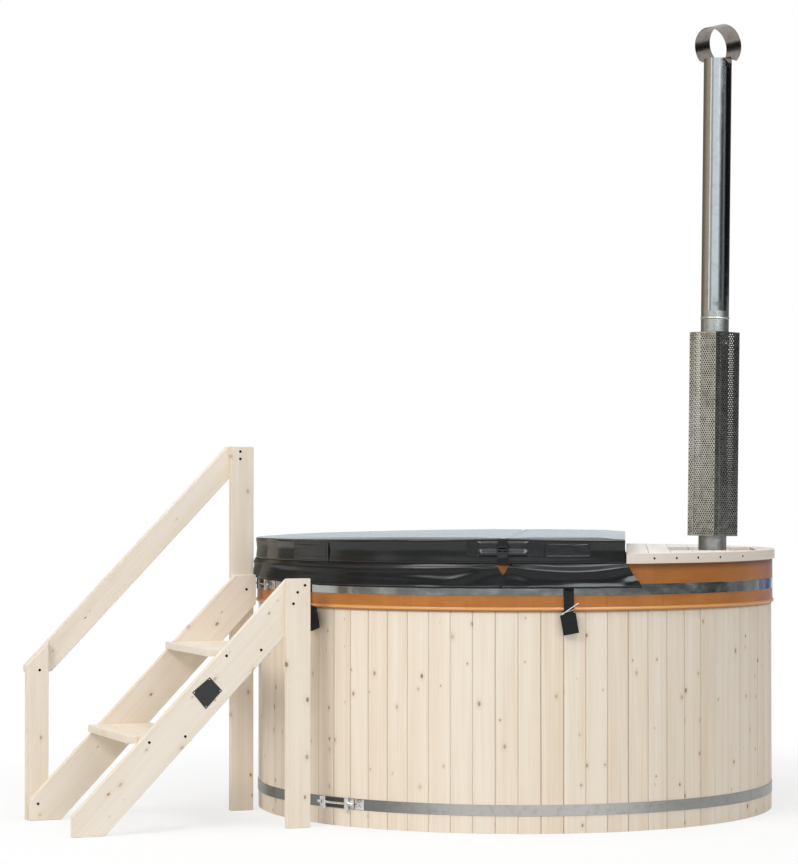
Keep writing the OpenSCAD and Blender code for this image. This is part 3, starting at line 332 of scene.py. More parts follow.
planed_finish("stair_boards", (0.835, 0.77, 0.68, 1), (0.69, 0.56, 0.41, 1), 0.62)
planed_finish("lid_wood", (0.86, 0.83, 0.79, 1), (0.8, 0.72, 0.63, 1), 0.2)
planed_finish("bath_wood", (0.72, 0.58, 0.42, 1), (0.6, 0.43, 0.27, 1), 0.4)
planed_finish("floor_wood", (0.7, 0.58, 0.43, 1), (0.56, 0.41, 0.26, 1), 0.6)
print("planed finishes:", sorted(FINISHES))

# %% Boards with eased edges
def islands(bm):
    """The separate solids of a mesh, each a list of its points."""
    seen, found = set(), []
    for start in bm.verts:
        if start in seen:
            continue
        seen.add(start)
        group, queue = [], [start]
        while queue:
            v = queue.pop()
            group.append(v)
            for e in v.link_edges:
                o = e.other_vert(v)
                if o not in seen:
                    seen.add(o)
                    queue.append(o)
        found.append(group)
    return found


def board_axes(points):
    """Along the longest edge, across the widest side, and through the board."""
    edges = {e for v in points for e in v.link_edges}
    ways = sorted(((e.verts[1].co - e.verts[0].co) for e in edges), key=lambda d: -d.length)
    along = ways[0].normalized()
    side = [d - along * d.dot(along) for d in ways]
    across = max((d for d in side), key=lambda d: d.length).normalized()
    return across, across.cross(along), along


def planed(node, finish_name, slot_name, body="root", edge=0.002, name=None, axes=None):
    bm = bmesh.new()
    bm.from_mesh(NODES[node].data)
    bmesh.ops.remove_doubles(bm, verts=bm.verts[:], dist=2e-5)
    bmesh.ops.dissolve_limit(bm, angle_limit=0.02, verts=bm.verts[:], edges=bm.edges[:])
    frames = [(sum((v.co for v in p), Vector()) / len(p), axes or board_axes(p)) for p in islands(bm)]
    sharp = [e for e in bm.edges if len(e.link_faces) == 2 and e.calc_face_angle() > 0.5]
    bmesh.ops.bevel(bm, geom=sharp, offset=edge, segments=2, profile=0.5, affect="EDGES", clamp_overlap=True)
    grain = bm.verts.layers.float_vector.new("grain")
    number = bm.verts.layers.float.new("board")
    for group in islands(bm):
        middle = sum((v.co for v in group), Vector()) / len(group)
        k, (centre, (across, through, along)) = min(enumerate(frames), key=lambda f: (f[1][0] - middle).length)
        for v in group:
            d = v.co - centre
            v[grain] = Vector((d.dot(across), d.dot(through), d.dot(along)))
            v[number] = k + 3 * (len(node) % 7) + abs(centre.x) * 5
    obj = add_mesh(name or node + "_planed", [], [])
    bm.to_mesh(obj.data)
    bm.free()
    obj.data.shade_smooth()
    obj.data.set_sharp_from_angle(angle=math.radians(75))
    even = obj.modifiers.new("even_shading", "WEIGHTED_NORMAL")
    even.keep_sharp = True
    return dress(obj, finish_name, slot_name, body, node)


def dress(obj, finish_name, slot_name, body, *nodes):
    """Material, body and the CAD nodes that the piece stands for; slot_name is not used."""
    obj.data.materials.clear()
    obj.data.materials.append(FINISHES[finish_name])
    if body:
        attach(obj, body)
    if nodes:
        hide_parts(*nodes)
    return obj


def paint(node, finish_name):
    """A CAD node whose shape is right keeps its mesh and only gets a material."""
    obj = NODES[node]
    if not obj.material_slots:
        obj.data.materials.append(None)
    for place in obj.material_slots:
        place.link = "OBJECT"
        place.material = FINISHES[finish_name]


paint("cladding_boards", "wall_boards")
for node in ("stair_stringer_near", "stair_stringer_far", "stair_tread_lower", "stair_tread_upper",
             "stair_post_near", "stair_post_tall", "stair_post_low", "stair_handrail"):
    planed(node, "stair_boards", "spruce", edge=0.0025)
planed("lid_boards", "lid_wood", "spruce", edge=0.0003)
planed("lid_battens", "lid_wood", "spruce")
for node in ("bench_slats", "bench_bearers", "bench_legs", "fence_slats", "fence_rails"):
    planed(node, "bath_wood", "bath_wood", edge=0.003)
planed("base_bearers", "floor_wood", "spruce")
print("planed boards done")

# %% [markdown]
# ## Metal
# Brushed steel scatters light along fine parallel lines, and thin strip is never quite flat, so its
# reflections waver. One group makes both: long thin noise for the brushing, and a slow noise for the
# unevenness. Each metal sets the direction by how it scales the point it hands over.

# %% Group: brushed metal
brushed_metal, take, give = start_group(
    "brushed_metal",
    [("Vector", "Vector", None), ("Lines", "Vector", (40, 40, 900)), ("Polish", "Float", 0.3),
     ("Spread", "Float", 0.15), ("Waver", "Float", 0.5)],
    [("Roughness", "Float"), ("Height", "Float"), ("Stain", "Float")])
t = brushed_metal
lines = cloud(t, put(t, "ShaderNodeVectorMath", {0: take["Vector"], 1: take["Lines"]}, operation="MULTIPLY").outputs[0], detail=3.0)
slow = cloud(t, take["Vector"], 9.0, 2.0)
patch = cloud(t, take["Vector"], 38.0, 4.0)
t.links.new(calc(t, "ADD", take["Polish"], calc(t, "MULTIPLY", take["Spread"], calc(t, "SUBTRACT", calc(t, "ADD", calc(t, "MULTIPLY", lines, 0.7), calc(t, "MULTIPLY", patch, 0.6)), 0.65))), give["Roughness"])
t.links.new(calc(t, "ADD", calc(t, "MULTIPLY", lines, 0.06), calc(t, "MULTIPLY", calc(t, "MULTIPLY", slow, 12.0), take["Waver"])), give["Height"])
t.links.new(step(t, patch, 0.45, 0.75), give["Stain"])
print("brushed metal:", len(t.nodes), "nodes")


# %% Finishes: metals
def metal_finish(name, colour, stain, lines, polish, spread, waver, **values):
    finish, t, shader, place = start_finish(name, Metallic=1.0, **values)
    made = use_group(t, brushed_metal, Vector=place, Lines=lines, Polish=polish, Spread=spread, Waver=waver)
    join(t, shader, Base_Color=tint(t, made["Stain"], colour, stain), Roughness=made["Roughness"])
    relief(t, shader, made["Height"], 0.001, 0.35)
    FINISHES[name] = finish
    return finish


metal_finish("hoop_steel", (0.40, 0.415, 0.41, 1), (0.36, 0.37, 0.36, 1), (6, 6, 300), 0.15, 0.1, 0.6)
low_hoop = metal_finish("low_hoop_steel", (0.5, 0.485, 0.46, 1), (0.42, 0.4, 0.37, 1), (6, 6, 700), 0.4, 0.16, 0.5)
t = low_hoop.node_tree
shader = t.nodes["Principled BSDF"]
x, y, z = put(t, "ShaderNodeSeparateXYZ", {0: put(t, "ShaderNodeTexCoord").outputs["Object"]}).outputs
turn = calc(t, "MULTIPLY", calc(t, "ARCTAN2", y, x), 180 / math.pi)
# Painted reflection: the hoop's colour is darkened towards both sides, by its turn round the tub.
painted_dim_sides = calc(t, "ADD", step(t, turn, -119.0, -96.0, 0.85, 0.0), step(t, turn, -72.0, -50.0, 0.0, 0.5))
join(t, shader, Base_Color=tint(t, painted_dim_sides, shader.inputs["Base Color"].links[0].from_socket, (0.16, 0.17, 0.165, 1)))
metal_finish("pipe_polished", (0.66, 0.67, 0.68, 1), (0.6, 0.6, 0.59, 1), (60, 60, 2), 0.1, 0.08, 0.35)
# behind the guard the pipe is painted near black and less metallic: painted shade inside the guard
low_pipe = metal_finish("pipe_brushed", (0.43, 0.43, 0.41, 1), (0.33, 0.32, 0.29, 1), (14, 14, 800), 0.34, 0.16, 0.2)
t = low_pipe.node_tree
shader = t.nodes["Principled BSDF"]
x, y, z = put(t, "ShaderNodeSeparateXYZ", {0: put(t, "ShaderNodeTexCoord").outputs["Object"]}).outputs
painted_guard_shade = calc(t, "MULTIPLY", step(t, z, 1.046, 1.060), step(t, z, 1.816, 1.800))
join(t, shader, Base_Color=tint(t, painted_guard_shade, shader.inputs["Base Color"].links[0].from_socket, (0.03, 0.028, 0.027, 1)),
     Metallic=step(t, painted_guard_shade, 0.0, 1.0, 1.0, 0.2))
metal_finish("cap_steel", (0.24, 0.215, 0.195, 1), (0.17, 0.135, 0.11, 1), (60, 8, 60), 0.24, 0.08, 0.2)
metal_finish("lock_steel", (0.68, 0.68, 0.67, 1), (0.5, 0.48, 0.45, 1), (80, 80, 80), 0.22, 0.2, 0.6)
metal_finish("stove_sheet", (0.5, 0.5, 0.5, 1), (0.36, 0.34, 0.32, 1), (300, 8, 8), 0.42, 0.25, 1.2)
metal_finish("turned_steel", (0.66, 0.66, 0.66, 1), (0.56, 0.55, 0.53, 1), (500, 500, 500), 0.2, 0.15, 0.1)
guard = metal_finish("guard_sheet", (0.60, 0.595, 0.555, 1), (0.42, 0.41, 0.37, 1), (300, 300, 6), 0.25, 0.2, 0.7)
t = guard.node_tree
shader = t.nodes["Principled BSDF"]
inside = put(t, "ShaderNodeAttribute", attribute_name="inside").outputs["Fac"]
outer_look = shader.inputs["Base Color"].links[0].from_socket
# Faces marked inside go near black and less metallic: painted shade inside the guard and in its holes.
join(t, shader, Base_Color=tint(t, inside, outer_look, (0.022, 0.021, 0.02, 1)), Metallic=step(t, inside, 0.0, 1.0, 1.0, 0.1))

finish, t, shader, place = start_finish("cast_iron", Metallic=0.6, Specular_IOR_Level=0.4)
sand = cloud(t, place, 900.0, 4.0)
patch = cloud(t, place, 30.0, 3.0)
join(t, shader, Base_Color=tint(t, step(t, patch, 0.4, 0.7), (0.035, 0.034, 0.034, 1), (0.07, 0.055, 0.045, 1)),
     Roughness=step(t, sand, 0.2, 0.8, 0.5, 0.8))
relief(t, shader, sand, 0.0006, 0.7)
FINISHES["cast_iron"] = finish
print("metals:", len(FINISHES), "finishes in all")

# %% [markdown]
# ## Liner and stage colours
# The liner is one rotational moulding in caramel plastic. Such a skin is satin, with a faint orange
# peel from the mould and slow changes of thickness that read as slightly darker bands.

# %% Finish: liner
finish, t, shader, place = start_finish("liner_plastic", Specular_IOR_Level=0.35)
slow = cloud(t, scaled(t, place, (5, 5, 12)), 1.0, 3.0)
peel = cloud(t, place, 420.0, 2.0)
streaks = cloud(t, scaled(t, place, (60, 60, 3)), 1.0, 3.0)
hue = tint(t, step(t, slow, 0.3, 0.7), (0.5, 0.185, 0.036, 1), (0.4, 0.135, 0.026, 1))
hue = tint(t, calc(t, "MULTIPLY", step(t, streaks, 0.5, 0.8), 0.2), hue, (0.6, 0.27, 0.08, 1))
x, y, z = put(t, "ShaderNodeSeparateXYZ", {0: place}).outputs
outside = step(t, calc(t, "SQRT", calc(t, "ADD", calc(t, "MULTIPLY", x, x), calc(t, "MULTIPLY", y, y))), 1.0, 1.0012)
# Painted highlight: a lighter orange band along the outer face of the lip.
painted_lip_highlight = calc(t, "MULTIPLY", outside, calc(t, "MULTIPLY", step(t, z, 0.7925, 0.796), step(t, z, 0.806, 0.8015)))
hue = tint(t, calc(t, "MULTIPLY", painted_lip_highlight, 0.75), hue, (0.82, 0.42, 0.14, 1))
# Painted shade: the skirt's outer face darkens from the lip up to z 0.875.
hue = tint(t, calc(t, "MULTIPLY", outside, step(t, z, 0.80, 0.875, 0.0, 0.3)), hue, (0.3, 0.1, 0.02, 1))
# Painted shadow: near black at the skirt's top where the stove lid overhangs it.
painted_lid_shadow = calc(t, "MULTIPLY", outside, step(t, x, 0.42, 0.44))
hue = tint(t, calc(t, "MULTIPLY", painted_lid_shadow, step(t, z, 0.925, 0.957, 0.0, 0.75)), hue, (0.07, 0.024, 0.007, 1))
join(t, shader, Base_Color=hue, Roughness=step(t, streaks, 0.2, 0.8, 0.26, 0.38))
relief(t, shader, calc(t, "ADD", peel, calc(t, "MULTIPLY", slow, 8.0)), 0.0004, 0.5)
FINISHES["liner_plastic"] = finish

# %% [markdown]
# ## Vinyl and webbing
# The cover is a foam core in black marine vinyl: a fine pebble grain, soft creases where it was folded
# for shipping, and a dull sheen. Grain and creases come from one group, so the panels, flaps, patches
# and the fold share them. Webbing has ribs across its length, from the same bump idea.

# %% Group: vinyl grain
vinyl_grain, take, give = start_group(
    "vinyl_grain", [("Vector", "Vector", None), ("Creases", "Float", 1.0)],
    [("Color", "Color"), ("Roughness", "Float"), ("Height", "Float")])
t = vinyl_grain
pebble = put(t, "ShaderNodeTexVoronoi", {"Vector": take["Vector"], "Scale": 700.0}, feature="SMOOTH_F1").outputs["Distance"]
folds = cloud(t, scaled(t, take["Vector"], (14, 14, 30)), 1.0, 3.0)
soft = cloud(t, scaled(t, take["Vector"], (3.2, 3.2, 9)), 1.0, 2.0)
dust = step(t, cloud(t, take["Vector"], 55.0, 5.0), 0.45, 0.8)
t.links.new(tint(t, calc(t, "MULTIPLY", dust, 0.35), (0.006, 0.0064, 0.0068, 1), (0.013, 0.0134, 0.0138, 1)), give["Color"])
t.links.new(calc(t, "ADD", step(t, soft, 0.3, 0.7, 0.3, 0.4), calc(t, "MULTIPLY", dust, 0.1)), give["Roughness"])
t.links.new(calc(t, "ADD", calc(t, "MULTIPLY", pebble, 0.12),
                 calc(t, "MULTIPLY", calc(t, "ADD", calc(t, "MULTIPLY", folds, 2.0), calc(t, "MULTIPLY", soft, 8.0)), take["Creases"])), give["Height"])
print("vinyl grain:", len(t.nodes), "nodes")


# %% Finishes: vinyl, webbing, label and ties
def vinyl_finish(name, creases, **values):
    finish, t, shader, place = start_finish(name, **values)
    made = use_group(t, vinyl_grain, Vector=place, Creases=creases)
    join(t, shader, Base_Color=made["Color"], Roughness=made["Roughness"])
    relief(t, shader, made["Height"], 0.001, 0.8)
    FINISHES[name] = finish
    return finish


vinyl_finish("cover_vinyl", 1.0, Specular_IOR_Level=0.1, Coat_Weight=0.8, Coat_Roughness=0.14)
vinyl_finish("flap_vinyl", 1.0, Specular_IOR_Level=0.03, Coat_Weight=0.55, Coat_Roughness=0.22)
vinyl_finish("patch_vinyl", 1.6, Specular_IOR_Level=0.2, Coat_Weight=0.6, Coat_Roughness=0.22)


def simple_finish(name, colour, other, scale, rough, bump, **values):
    """Two near colours mixed by noise, with roughness and relief from the same noise."""
    finish, t, shader, place = start_finish(name, **values)
    grain = cloud(t, place, scale, 4.0)
    join(t, shader, Base_Color=tint(t, step(t, grain, 0.35, 0.7), colour, other),
         Roughness=step(t, grain, 0.2, 0.8, *rough))
    relief(t, shader, grain, bump, 0.6)
    FINISHES[name] = finish
    return finish


simple_finish("buckle_plastic", (0.012, 0.012, 0.013, 1), (0.02, 0.02, 0.021, 1), 400.0, (0.22, 0.36), 0.0003)
simple_finish("screw_black", (0.005, 0.004, 0.0035, 1), (0.012, 0.010, 0.008, 1), 900.0, (0.5, 0.7), 0.0003, Specular_IOR_Level=0.1)
simple_finish("label_black", (0.012, 0.012, 0.013, 1), (0.022, 0.022, 0.023, 1), 250.0, (0.3, 0.45), 0.0002)
simple_finish("tie_white", (0.8, 0.8, 0.79, 1), (0.72, 0.72, 0.71, 1), 300.0, (0.3, 0.45), 0.0002)
simple_finish("lever_dip", (0.03, 0.03, 0.032, 1), (0.05, 0.05, 0.052, 1), 500.0, (0.4, 0.6), 0.0004)
simple_finish("thread_grey", (0.16, 0.16, 0.165, 1), (0.1, 0.1, 0.105, 1), 1500.0, (0.6, 0.8), 0.0002)

finish, t, shader, place = start_finish("webbing_black", Specular_IOR_Level=0.15)
inside = put(t, "ShaderNodeAttribute", attribute_name="strap").outputs["Vector"]
u, v, w = put(t, "ShaderNodeSeparateXYZ", {0: inside}).outputs
ribs = calc(t, "SINE", calc(t, "MULTIPLY", v, 2 * math.pi / 0.0032))
weft = calc(t, "SINE", calc(t, "MULTIPLY", u, 2 * math.pi / 0.0016))
weave = step(t, calc(t, "ADD", ribs, calc(t, "MULTIPLY", weft, 0.4)), -1.2, 1.2)
fluff = cloud(t, place, 800.0, 3.0)
join(t, shader, Base_Color=tint(t, calc(t, "MULTIPLY", weave, fluff), (0.006, 0.006, 0.0065, 1), (0.022, 0.0225, 0.024, 1)),
     Roughness=step(t, weave, 0.0, 1.0, 0.5, 0.66))
relief(t, shader, weave, 0.0005, 0.9)
FINISHES["webbing_black"] = finish
print("finishes:", sorted(FINISHES))

# %% [markdown]
# ## Liner, hoops and locks
# The liner's copy is shaded smoothly, with each face's normal weighted by its area, so the broad flat
# rim isn't bent by the small rounding beside it. The hoops are steel strip: a thin section turned
# about Z with its corners taken off, because a sharp steel edge still catches a line of light.

# %% Liner and hoops
def weigh(obj):
    even = obj.modifiers.new("even_shading", "WEIGHTED_NORMAL")
    even.keep_sharp = True
    return obj


dress(weigh(clean_copy("liner", "bath_liner", 50)), "liner_plastic", "liner_shell", "root", "liner")


def strip_section(node, chamfer=0.0004):
    low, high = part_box(node)
    outer = high.x
    inner = outer - 0.0015
    c = chamfer
    return [(inner, low.z), (outer - c, low.z), (outer, low.z + c), (outer, high.z - c),
            (outer - c, high.z), (inner, high.z)]


for node, finish_name in (("hoop_lower", "low_hoop_steel"), ("hoop_upper", "hoop_steel")):
    dress(turned(node + "_strip", strip_section(node), 256, 30), finish_name, "hoop_steel", "root", node)
print("liner and two hoops")

# %% [markdown]
# Each hoop is pulled tight by a lock: two eyes, folded from the strip's ends round a short barrel, and
# a threaded rod with a nut at each end. The pieces are modelled in the lock's own frame, x outward and
# y along the rod, and then set on the tub by one matrix.

# %% Small solids
def rod(bm, start, end, radius, sides=16, end_radius=None):
    start, end = Vector(start), Vector(end)
    way = end - start
    place = Matrix.Translation((start + end) / 2) @ way.to_track_quat("Z", "Y").to_matrix().to_4x4()
    bmesh.ops.create_cone(bm, cap_ends=True, segments=sides, radius1=radius,
                          radius2=radius if end_radius is None else end_radius, depth=way.length, matrix=place)


def block(bm, low, high):
    low, high = Vector(low), Vector(high)
    size = Matrix.Diagonal(high - low).to_4x4()
    bmesh.ops.create_cube(bm, size=1.0, matrix=Matrix.Translation((low + high) / 2) @ size)


def thread(bm, start, end, radius, pitch=0.0018, sides=14):
    """A rod whose rings stand in and out by turns."""
    start, way = Vector(start), Vector(end) - Vector(start)
    turn = way.to_track_quat("Z", "Y").to_matrix()
    count = max(2, int(way.length / pitch) * 2)
    rings = []
    for k in range(count + 1):
        r = radius * (1.0 if k % 2 else 0.88)
        rings.append([bm.verts.new(start + way * (k / count) + turn @ Vector(
            (r * math.cos(2 * math.pi * i / sides), r * math.sin(2 * math.pi * i / sides), 0))) for i in range(sides)])
    for a, b in zip(rings, rings[1:]):
        for i in range(sides):
            bm.faces.new((a[i], a[(i + 1) % sides], b[(i + 1) % sides], b[i]))
    bm.faces.new(list(reversed(rings[0])))
    bm.faces.new(rings[-1])


def close(bm, name, bevel=0.0, place=None, smooth=40, limit=0.6):
    """Bevels the sharp edges, sets the shape in place and makes the object."""
    if bevel:
        sharp = [e for e in bm.edges if len(e.link_faces) == 2 and e.calc_face_angle() > limit]
        bmesh.ops.bevel(bm, geom=sharp, offset=bevel, segments=2, profile=0.6, affect="EDGES", clamp_overlap=True)
    bmesh.ops.recalc_face_normals(bm, faces=bm.faces[:])
    if place:
        bmesh.ops.transform(bm, matrix=place, verts=bm.verts[:])
    obj = add_mesh(name, [], [])
    bm.to_mesh(obj.data)
    bm.free()
    obj.data.shade_smooth()
    obj.data.set_sharp_from_angle(angle=math.radians(smooth))
    return weigh(obj)


# %% The two locks
def shell(name, shape, across, along, smooth=60):
    """A closed sheet: shape(u, v, k) gives the inner face's points at k = 0 and the outer's at k = 1."""
    wide, count = across + 1, (across + 1) * (along + 1)
    bm = bmesh.new()
    verts = [bm.verts.new(shape(i / across, j / along, k)) for k in (0, 1) for j in range(along + 1) for i in range(wide)]
    grid = grid_faces(across, along)
    rim = list(range(wide)) + [j * wide + across for j in range(1, along + 1)]
    rim += [along * wide + i for i in range(across - 1, -1, -1)] + [j * wide for j in range(along - 1, 0, -1)]
    faces = [tuple(reversed(f)) for f in grid] + [tuple(n + count for n in f) for f in grid]
    faces += [(a, b, b + count, a + count) for a, b in zip(rim, rim[1:] + rim[:1])]
    for f in faces:
        bm.faces.new([verts[n] for n in f])
    return close(bm, name, smooth=smooth)


def lock(name, turn, back, z):
    place = Matrix.Rotation(math.radians(turn), 4, "Z") @ Matrix.Translation((back, 0, z))
    eyes, rods = bmesh.new(), bmesh.new()
    for side in (-1, 1):
        y = side * 0.056
        rod(eyes, (0.0092, y, -0.0215), (0.0092, y, 0.0215), 0.0092, 20)
        block(eyes, (-0.0008, y - 0.007 - 0.002 * side, -0.019), (0.006, y + 0.007 - 0.002 * side, 0.019))
        # the strip's end, folded flat against the hoop beyond the eye
        block(eyes, (-0.0035, min(y, y + side * 0.030), -0.0185), (0.0014, max(y, y + side * 0.030), 0.0185))
        for dz in (-0.009, 0.009):
            rod(eyes, (0.0010, y + side * 0.020, dz), (0.0030, y + side * 0.020, dz), 0.0034, 12, 0.0022)
        rod(rods, (0.0085, y + side * 0.0084, 0), (0.0085, y + side * 0.0164, 0), 0.0082, 6)
        rod(rods, (0.0085, y + side * 0.0079, 0), (0.0085, y + side * 0.0086, 0), 0.0098, 20)
        thread(rods, (0.0085, y + side * 0.0160, 0), (0.0085, side * 0.089, 0), 0.0049)
    rod(rods, (0.0085, -0.050, 0), (0.0085, 0.050, 0), 0.0046, 16)
    # A dark block between the eyes, behind the rod: painted shade standing in for the dark gap there.
    shade_pad = bmesh.new()
    block(shade_pad, (-0.0028, -0.0495, -0.0175), (0.0016, 0.0495, 0.0175))
    dress(close(shade_pad, name + "_pad", 0.0006, place), "lever_dip", "lever_grip", "root")
    return close(eyes, name + "_eyes", 0.0009, place), close(rods, name + "_rod", 0.0, place)


STRIP_BACK = {"lower": math.sqrt(0.9988 ** 2 - 0.048 ** 2) + 0.0003, "upper": math.sqrt(1.0034 ** 2 - 0.048 ** 2) + 0.0003}
eyes_low, rod_low = lock("lower_lock", -128, STRIP_BACK["lower"], 0.083)
eyes_up, rod_up = lock("upper_lock", -158.5, STRIP_BACK["upper"], 0.8646)
for piece in (eyes_low, eyes_up):
    dress(piece, "lock_steel", "hoop_steel", "root", "hoop_lugs")
for piece in (rod_low, rod_up):
    dress(piece, "lock_steel", "hoop_steel", "root", "hoop_bolts")


def wrinkled_end(name, start, end, radius, z):
    """The strip's end beyond an eye, crumpled where it was bent back by hand."""
    def shape(u, v, k):
        turn, side = start + (end - start) * u, 2 * v - 1
        crease = noise.noise(Vector((u * 7, v * 5, radius * 90))) + 0.6 * noise.noise(Vector((u * 15, v * 11, 4)))
        edge = min(u, 1 - u, 0.25) * 4 * min(v, 1 - v, 0.2) * 5
        return on_wall(turn, radius + (0.0010 + 0.0021 * edge * (0.5 + 0.5 * crease) if k else 0.0), z + 0.0188 * side)
    return dress(shell(name, shape, 40, 18), "lock_steel", "hoop_steel", "root", "hoop_lugs")


wrinkled_end("lower_strip_end", -122.95, -120.6, 0.99910, 0.083)
wrinkled_end("upper_strip_end", -153.45, -151.0, 1.00370, 0.8646)
print("two locks")

# %% [markdown]
# ## Screws and nails
# A screw is worth modelling once. The points where screws sit are a small mesh whose `facing`
# attribute says which way each one looks, and a Geometry Nodes tree sets the shape on them. The tree
# ends in Realize Instances and Set Material, because the exported model keeps only real meshes.

# %% Tree: a shape on points
def socket(tree, label, kind, value=None, side="INPUT"):
    made = tree.interface.new_socket(label, in_out=side, socket_type="NodeSocket" + kind)
    if value is not None:
        made.default_value = value
    return made.identifier


on_points = bpy.data.node_groups.new("shape_on_points", "GeometryNodeTree")
t = on_points
socket(t, "Points", "Geometry")
SHAPE_IN, SIZE_IN, FINISH_IN = socket(t, "Shape", "Object"), socket(t, "Size", "Float", 1.0), socket(t, "Finish", "Material")
socket(t, "Result", "Geometry", side="OUTPUT")
given = t.nodes.new("NodeGroupInput").outputs
shape = put(t, "GeometryNodeObjectInfo", {"Object": given["Shape"]}).outputs["Geometry"]
facing = put(t, "GeometryNodeInputNamedAttribute", {"Name": "facing"}, data_type="FLOAT_VECTOR").outputs["Attribute"]
facing_turn = put(t, "FunctionNodeAlignRotationToVector", {"Vector": facing}, axis="Z").outputs[0]
spin = put(t, "FunctionNodeRandomValue", {2: 0.0, 3: 6.28, "Seed": 7}, data_type="FLOAT").outputs[1]
spun = put(t, "FunctionNodeRotateRotation", {0: facing_turn, 1: put(t, "FunctionNodeAxisAngleToRotation", {0: (0, 0, 1), 1: spin}).outputs[0]}, rotation_space="LOCAL").outputs[0]
sown = put(t, "GeometryNodeInstanceOnPoints", {"Points": given["Points"], "Instance": shape, "Rotation": spun, "Scale": given["Size"]}).outputs[0]
real = put(t, "GeometryNodeRealizeInstances", {0: sown}).outputs[0]
put(t, "NodeGroupOutput", {0: put(t, "GeometryNodeSetMaterial", {0: real, "Material": given["Finish"]}).outputs[0]})


def grown(obj, tree, name, settings):
    """Runs a Geometry Nodes tree on obj and keeps its result as a plain mesh."""
    nodes = obj.modifiers.new(tree.name, "NODES")
    nodes.node_group = tree
    for key, value in settings.items():
        nodes[key] = value
    bpy.context.view_layer.update()
    made = bpy.data.meshes.new_from_object(obj.evaluated_get(bpy.context.evaluated_depsgraph_get()))
    made.name = name
    result = bpy.data.objects.new(name, made)
    bpy.context.scene.collection.objects.link(result)
    bpy.data.objects.remove(obj)
    return result


def seated_on(name, places, shape, finish_name, size=1.0):
    """places are (point, facing) pairs."""
    seeds = add_mesh(name + "_points", [p for p, _ in places], [])
    way = seeds.data.attributes.new("facing", "FLOAT_VECTOR", "POINT")
    for k, (_, d) in enumerate(places):
        way.data[k].vector = d
    result = grown(seeds, on_points, name, {SHAPE_IN: shape, SIZE_IN: size, FINISH_IN: FINISHES[finish_name]})
    result.data.materials.clear()
    return result


# From the back of the head, over its rim, and down into the recess, all of it proud of the wood.
SCREW = turned("screw_shape", [(0, -0.0006), (0.0054, -0.0006), (0.0050, 0.0009), (0.0032, 0.0009),
                               (0.0026, 0.0003), (0, 0.0003)], 12, 30)
print("screw of", len(SCREW.data.polygons), "faces")

# %% [markdown]
# The stairs have their own frame, as in the CAD source: s runs up the stairs, w across to the far
# side. Screws in the stringers hold the treads, and those at the top hold the near post.

# %% Screws and the plate of the stairs
STAIR_TURN = math.radians(26)
STAIR_WAY = Vector((math.cos(STAIR_TURN), math.sin(STAIR_TURN), 0))
STAIR_SIDE = Vector((-math.sin(STAIR_TURN), math.cos(STAIR_TURN), 0))
STAIR_FOOT = STAIR_WAY * -(0.997 + 0.0122 + 0.876) + STAIR_SIDE * -0.439


def on_stairs(s, w, z):
    return STAIR_FOOT + STAIR_WAY * s + STAIR_SIDE * w + Vector((0, 0, z))


near, far = -STAIR_SIDE, STAIR_SIDE
screws = [(on_stairs(s, -0.028, z), near) for s, z in ((0.854, 0.876), (0.826, 0.851), (0.810, 0.810))]
screws += [(on_stairs(s, 0, z), near) for s, z in ((0.279, 0.325), (0.412, 0.342), (0.566, 0.626), (0.697, 0.644))]
screws += [(on_stairs(s, 0.547, z), near) for s, z in ((0.014, 0.062), (0.822, 0.842))]
screws += [(on_stairs(s, 0.575, z), near) for s, z in ((0.806, 1.366), (0.806, 1.338), (0.026, 0.553))]
screws += [(on_stairs(s, 0.631, z), far) for s, z in ((0.80, 1.345), (0.835, 1.315), (0.0, 0.56), (0.03, 0.535))]
screws += [(on_stairs(s, 0.575, z), far) for s, z in ((0.263, 0.325), (0.40, 0.335), (0.56, 0.626), (0.69, 0.64))]
screws += [(on_stairs(s, 0.603, z), far) for s, z in ((0.80, 0.80), (0.83, 0.85), (0.005, 0.06), (0.035, 0.12))]
stair_screws = seated_on("stair_screws", screws, SCREW, "screw_black")
dress(stair_screws, "screw_black", "hoop_steel", "root")

plate = bmesh.new()
corners = [(0.437, 0.498), (0.503, 0.551), (0.549, 0.502), (0.488, 0.437)]
for w in (0.0, -0.0012):
    for s, z in corners:
        plate.verts.new(on_stairs(s, w, z))
plate.verts.ensure_lookup_table()
v = plate.verts
for face in ((0, 1, 2, 3), (7, 6, 5, 4), (0, 4, 5, 1), (1, 5, 6, 2), (2, 6, 7, 3), (3, 7, 4, 0)):
    plate.faces.new([v[k] for k in face])
dress(close(plate, "bare_plate", 0.0004), "label_black", "lever_grip", "root")
middle = Vector((0.4943, 0, 0.497))
pins = [(on_stairs(middle.x + (s - middle.x) * 0.86, -0.0012, middle.z + (z - middle.z) * 0.86), near) for s, z in corners]
dress(seated_on("plate_pins", pins, SCREW, "lock_steel", 0.5), "lock_steel", "hoop_steel", "root")
print(len(screws), "screws and a bare plate")

# %% [markdown]
# ## Stove lid
# The lid's boards lie inside a strip that is bent round their edge and nailed on. The strip's grain
# follows the bend, so its attribute counts metres round the rim instead of along a straight line.

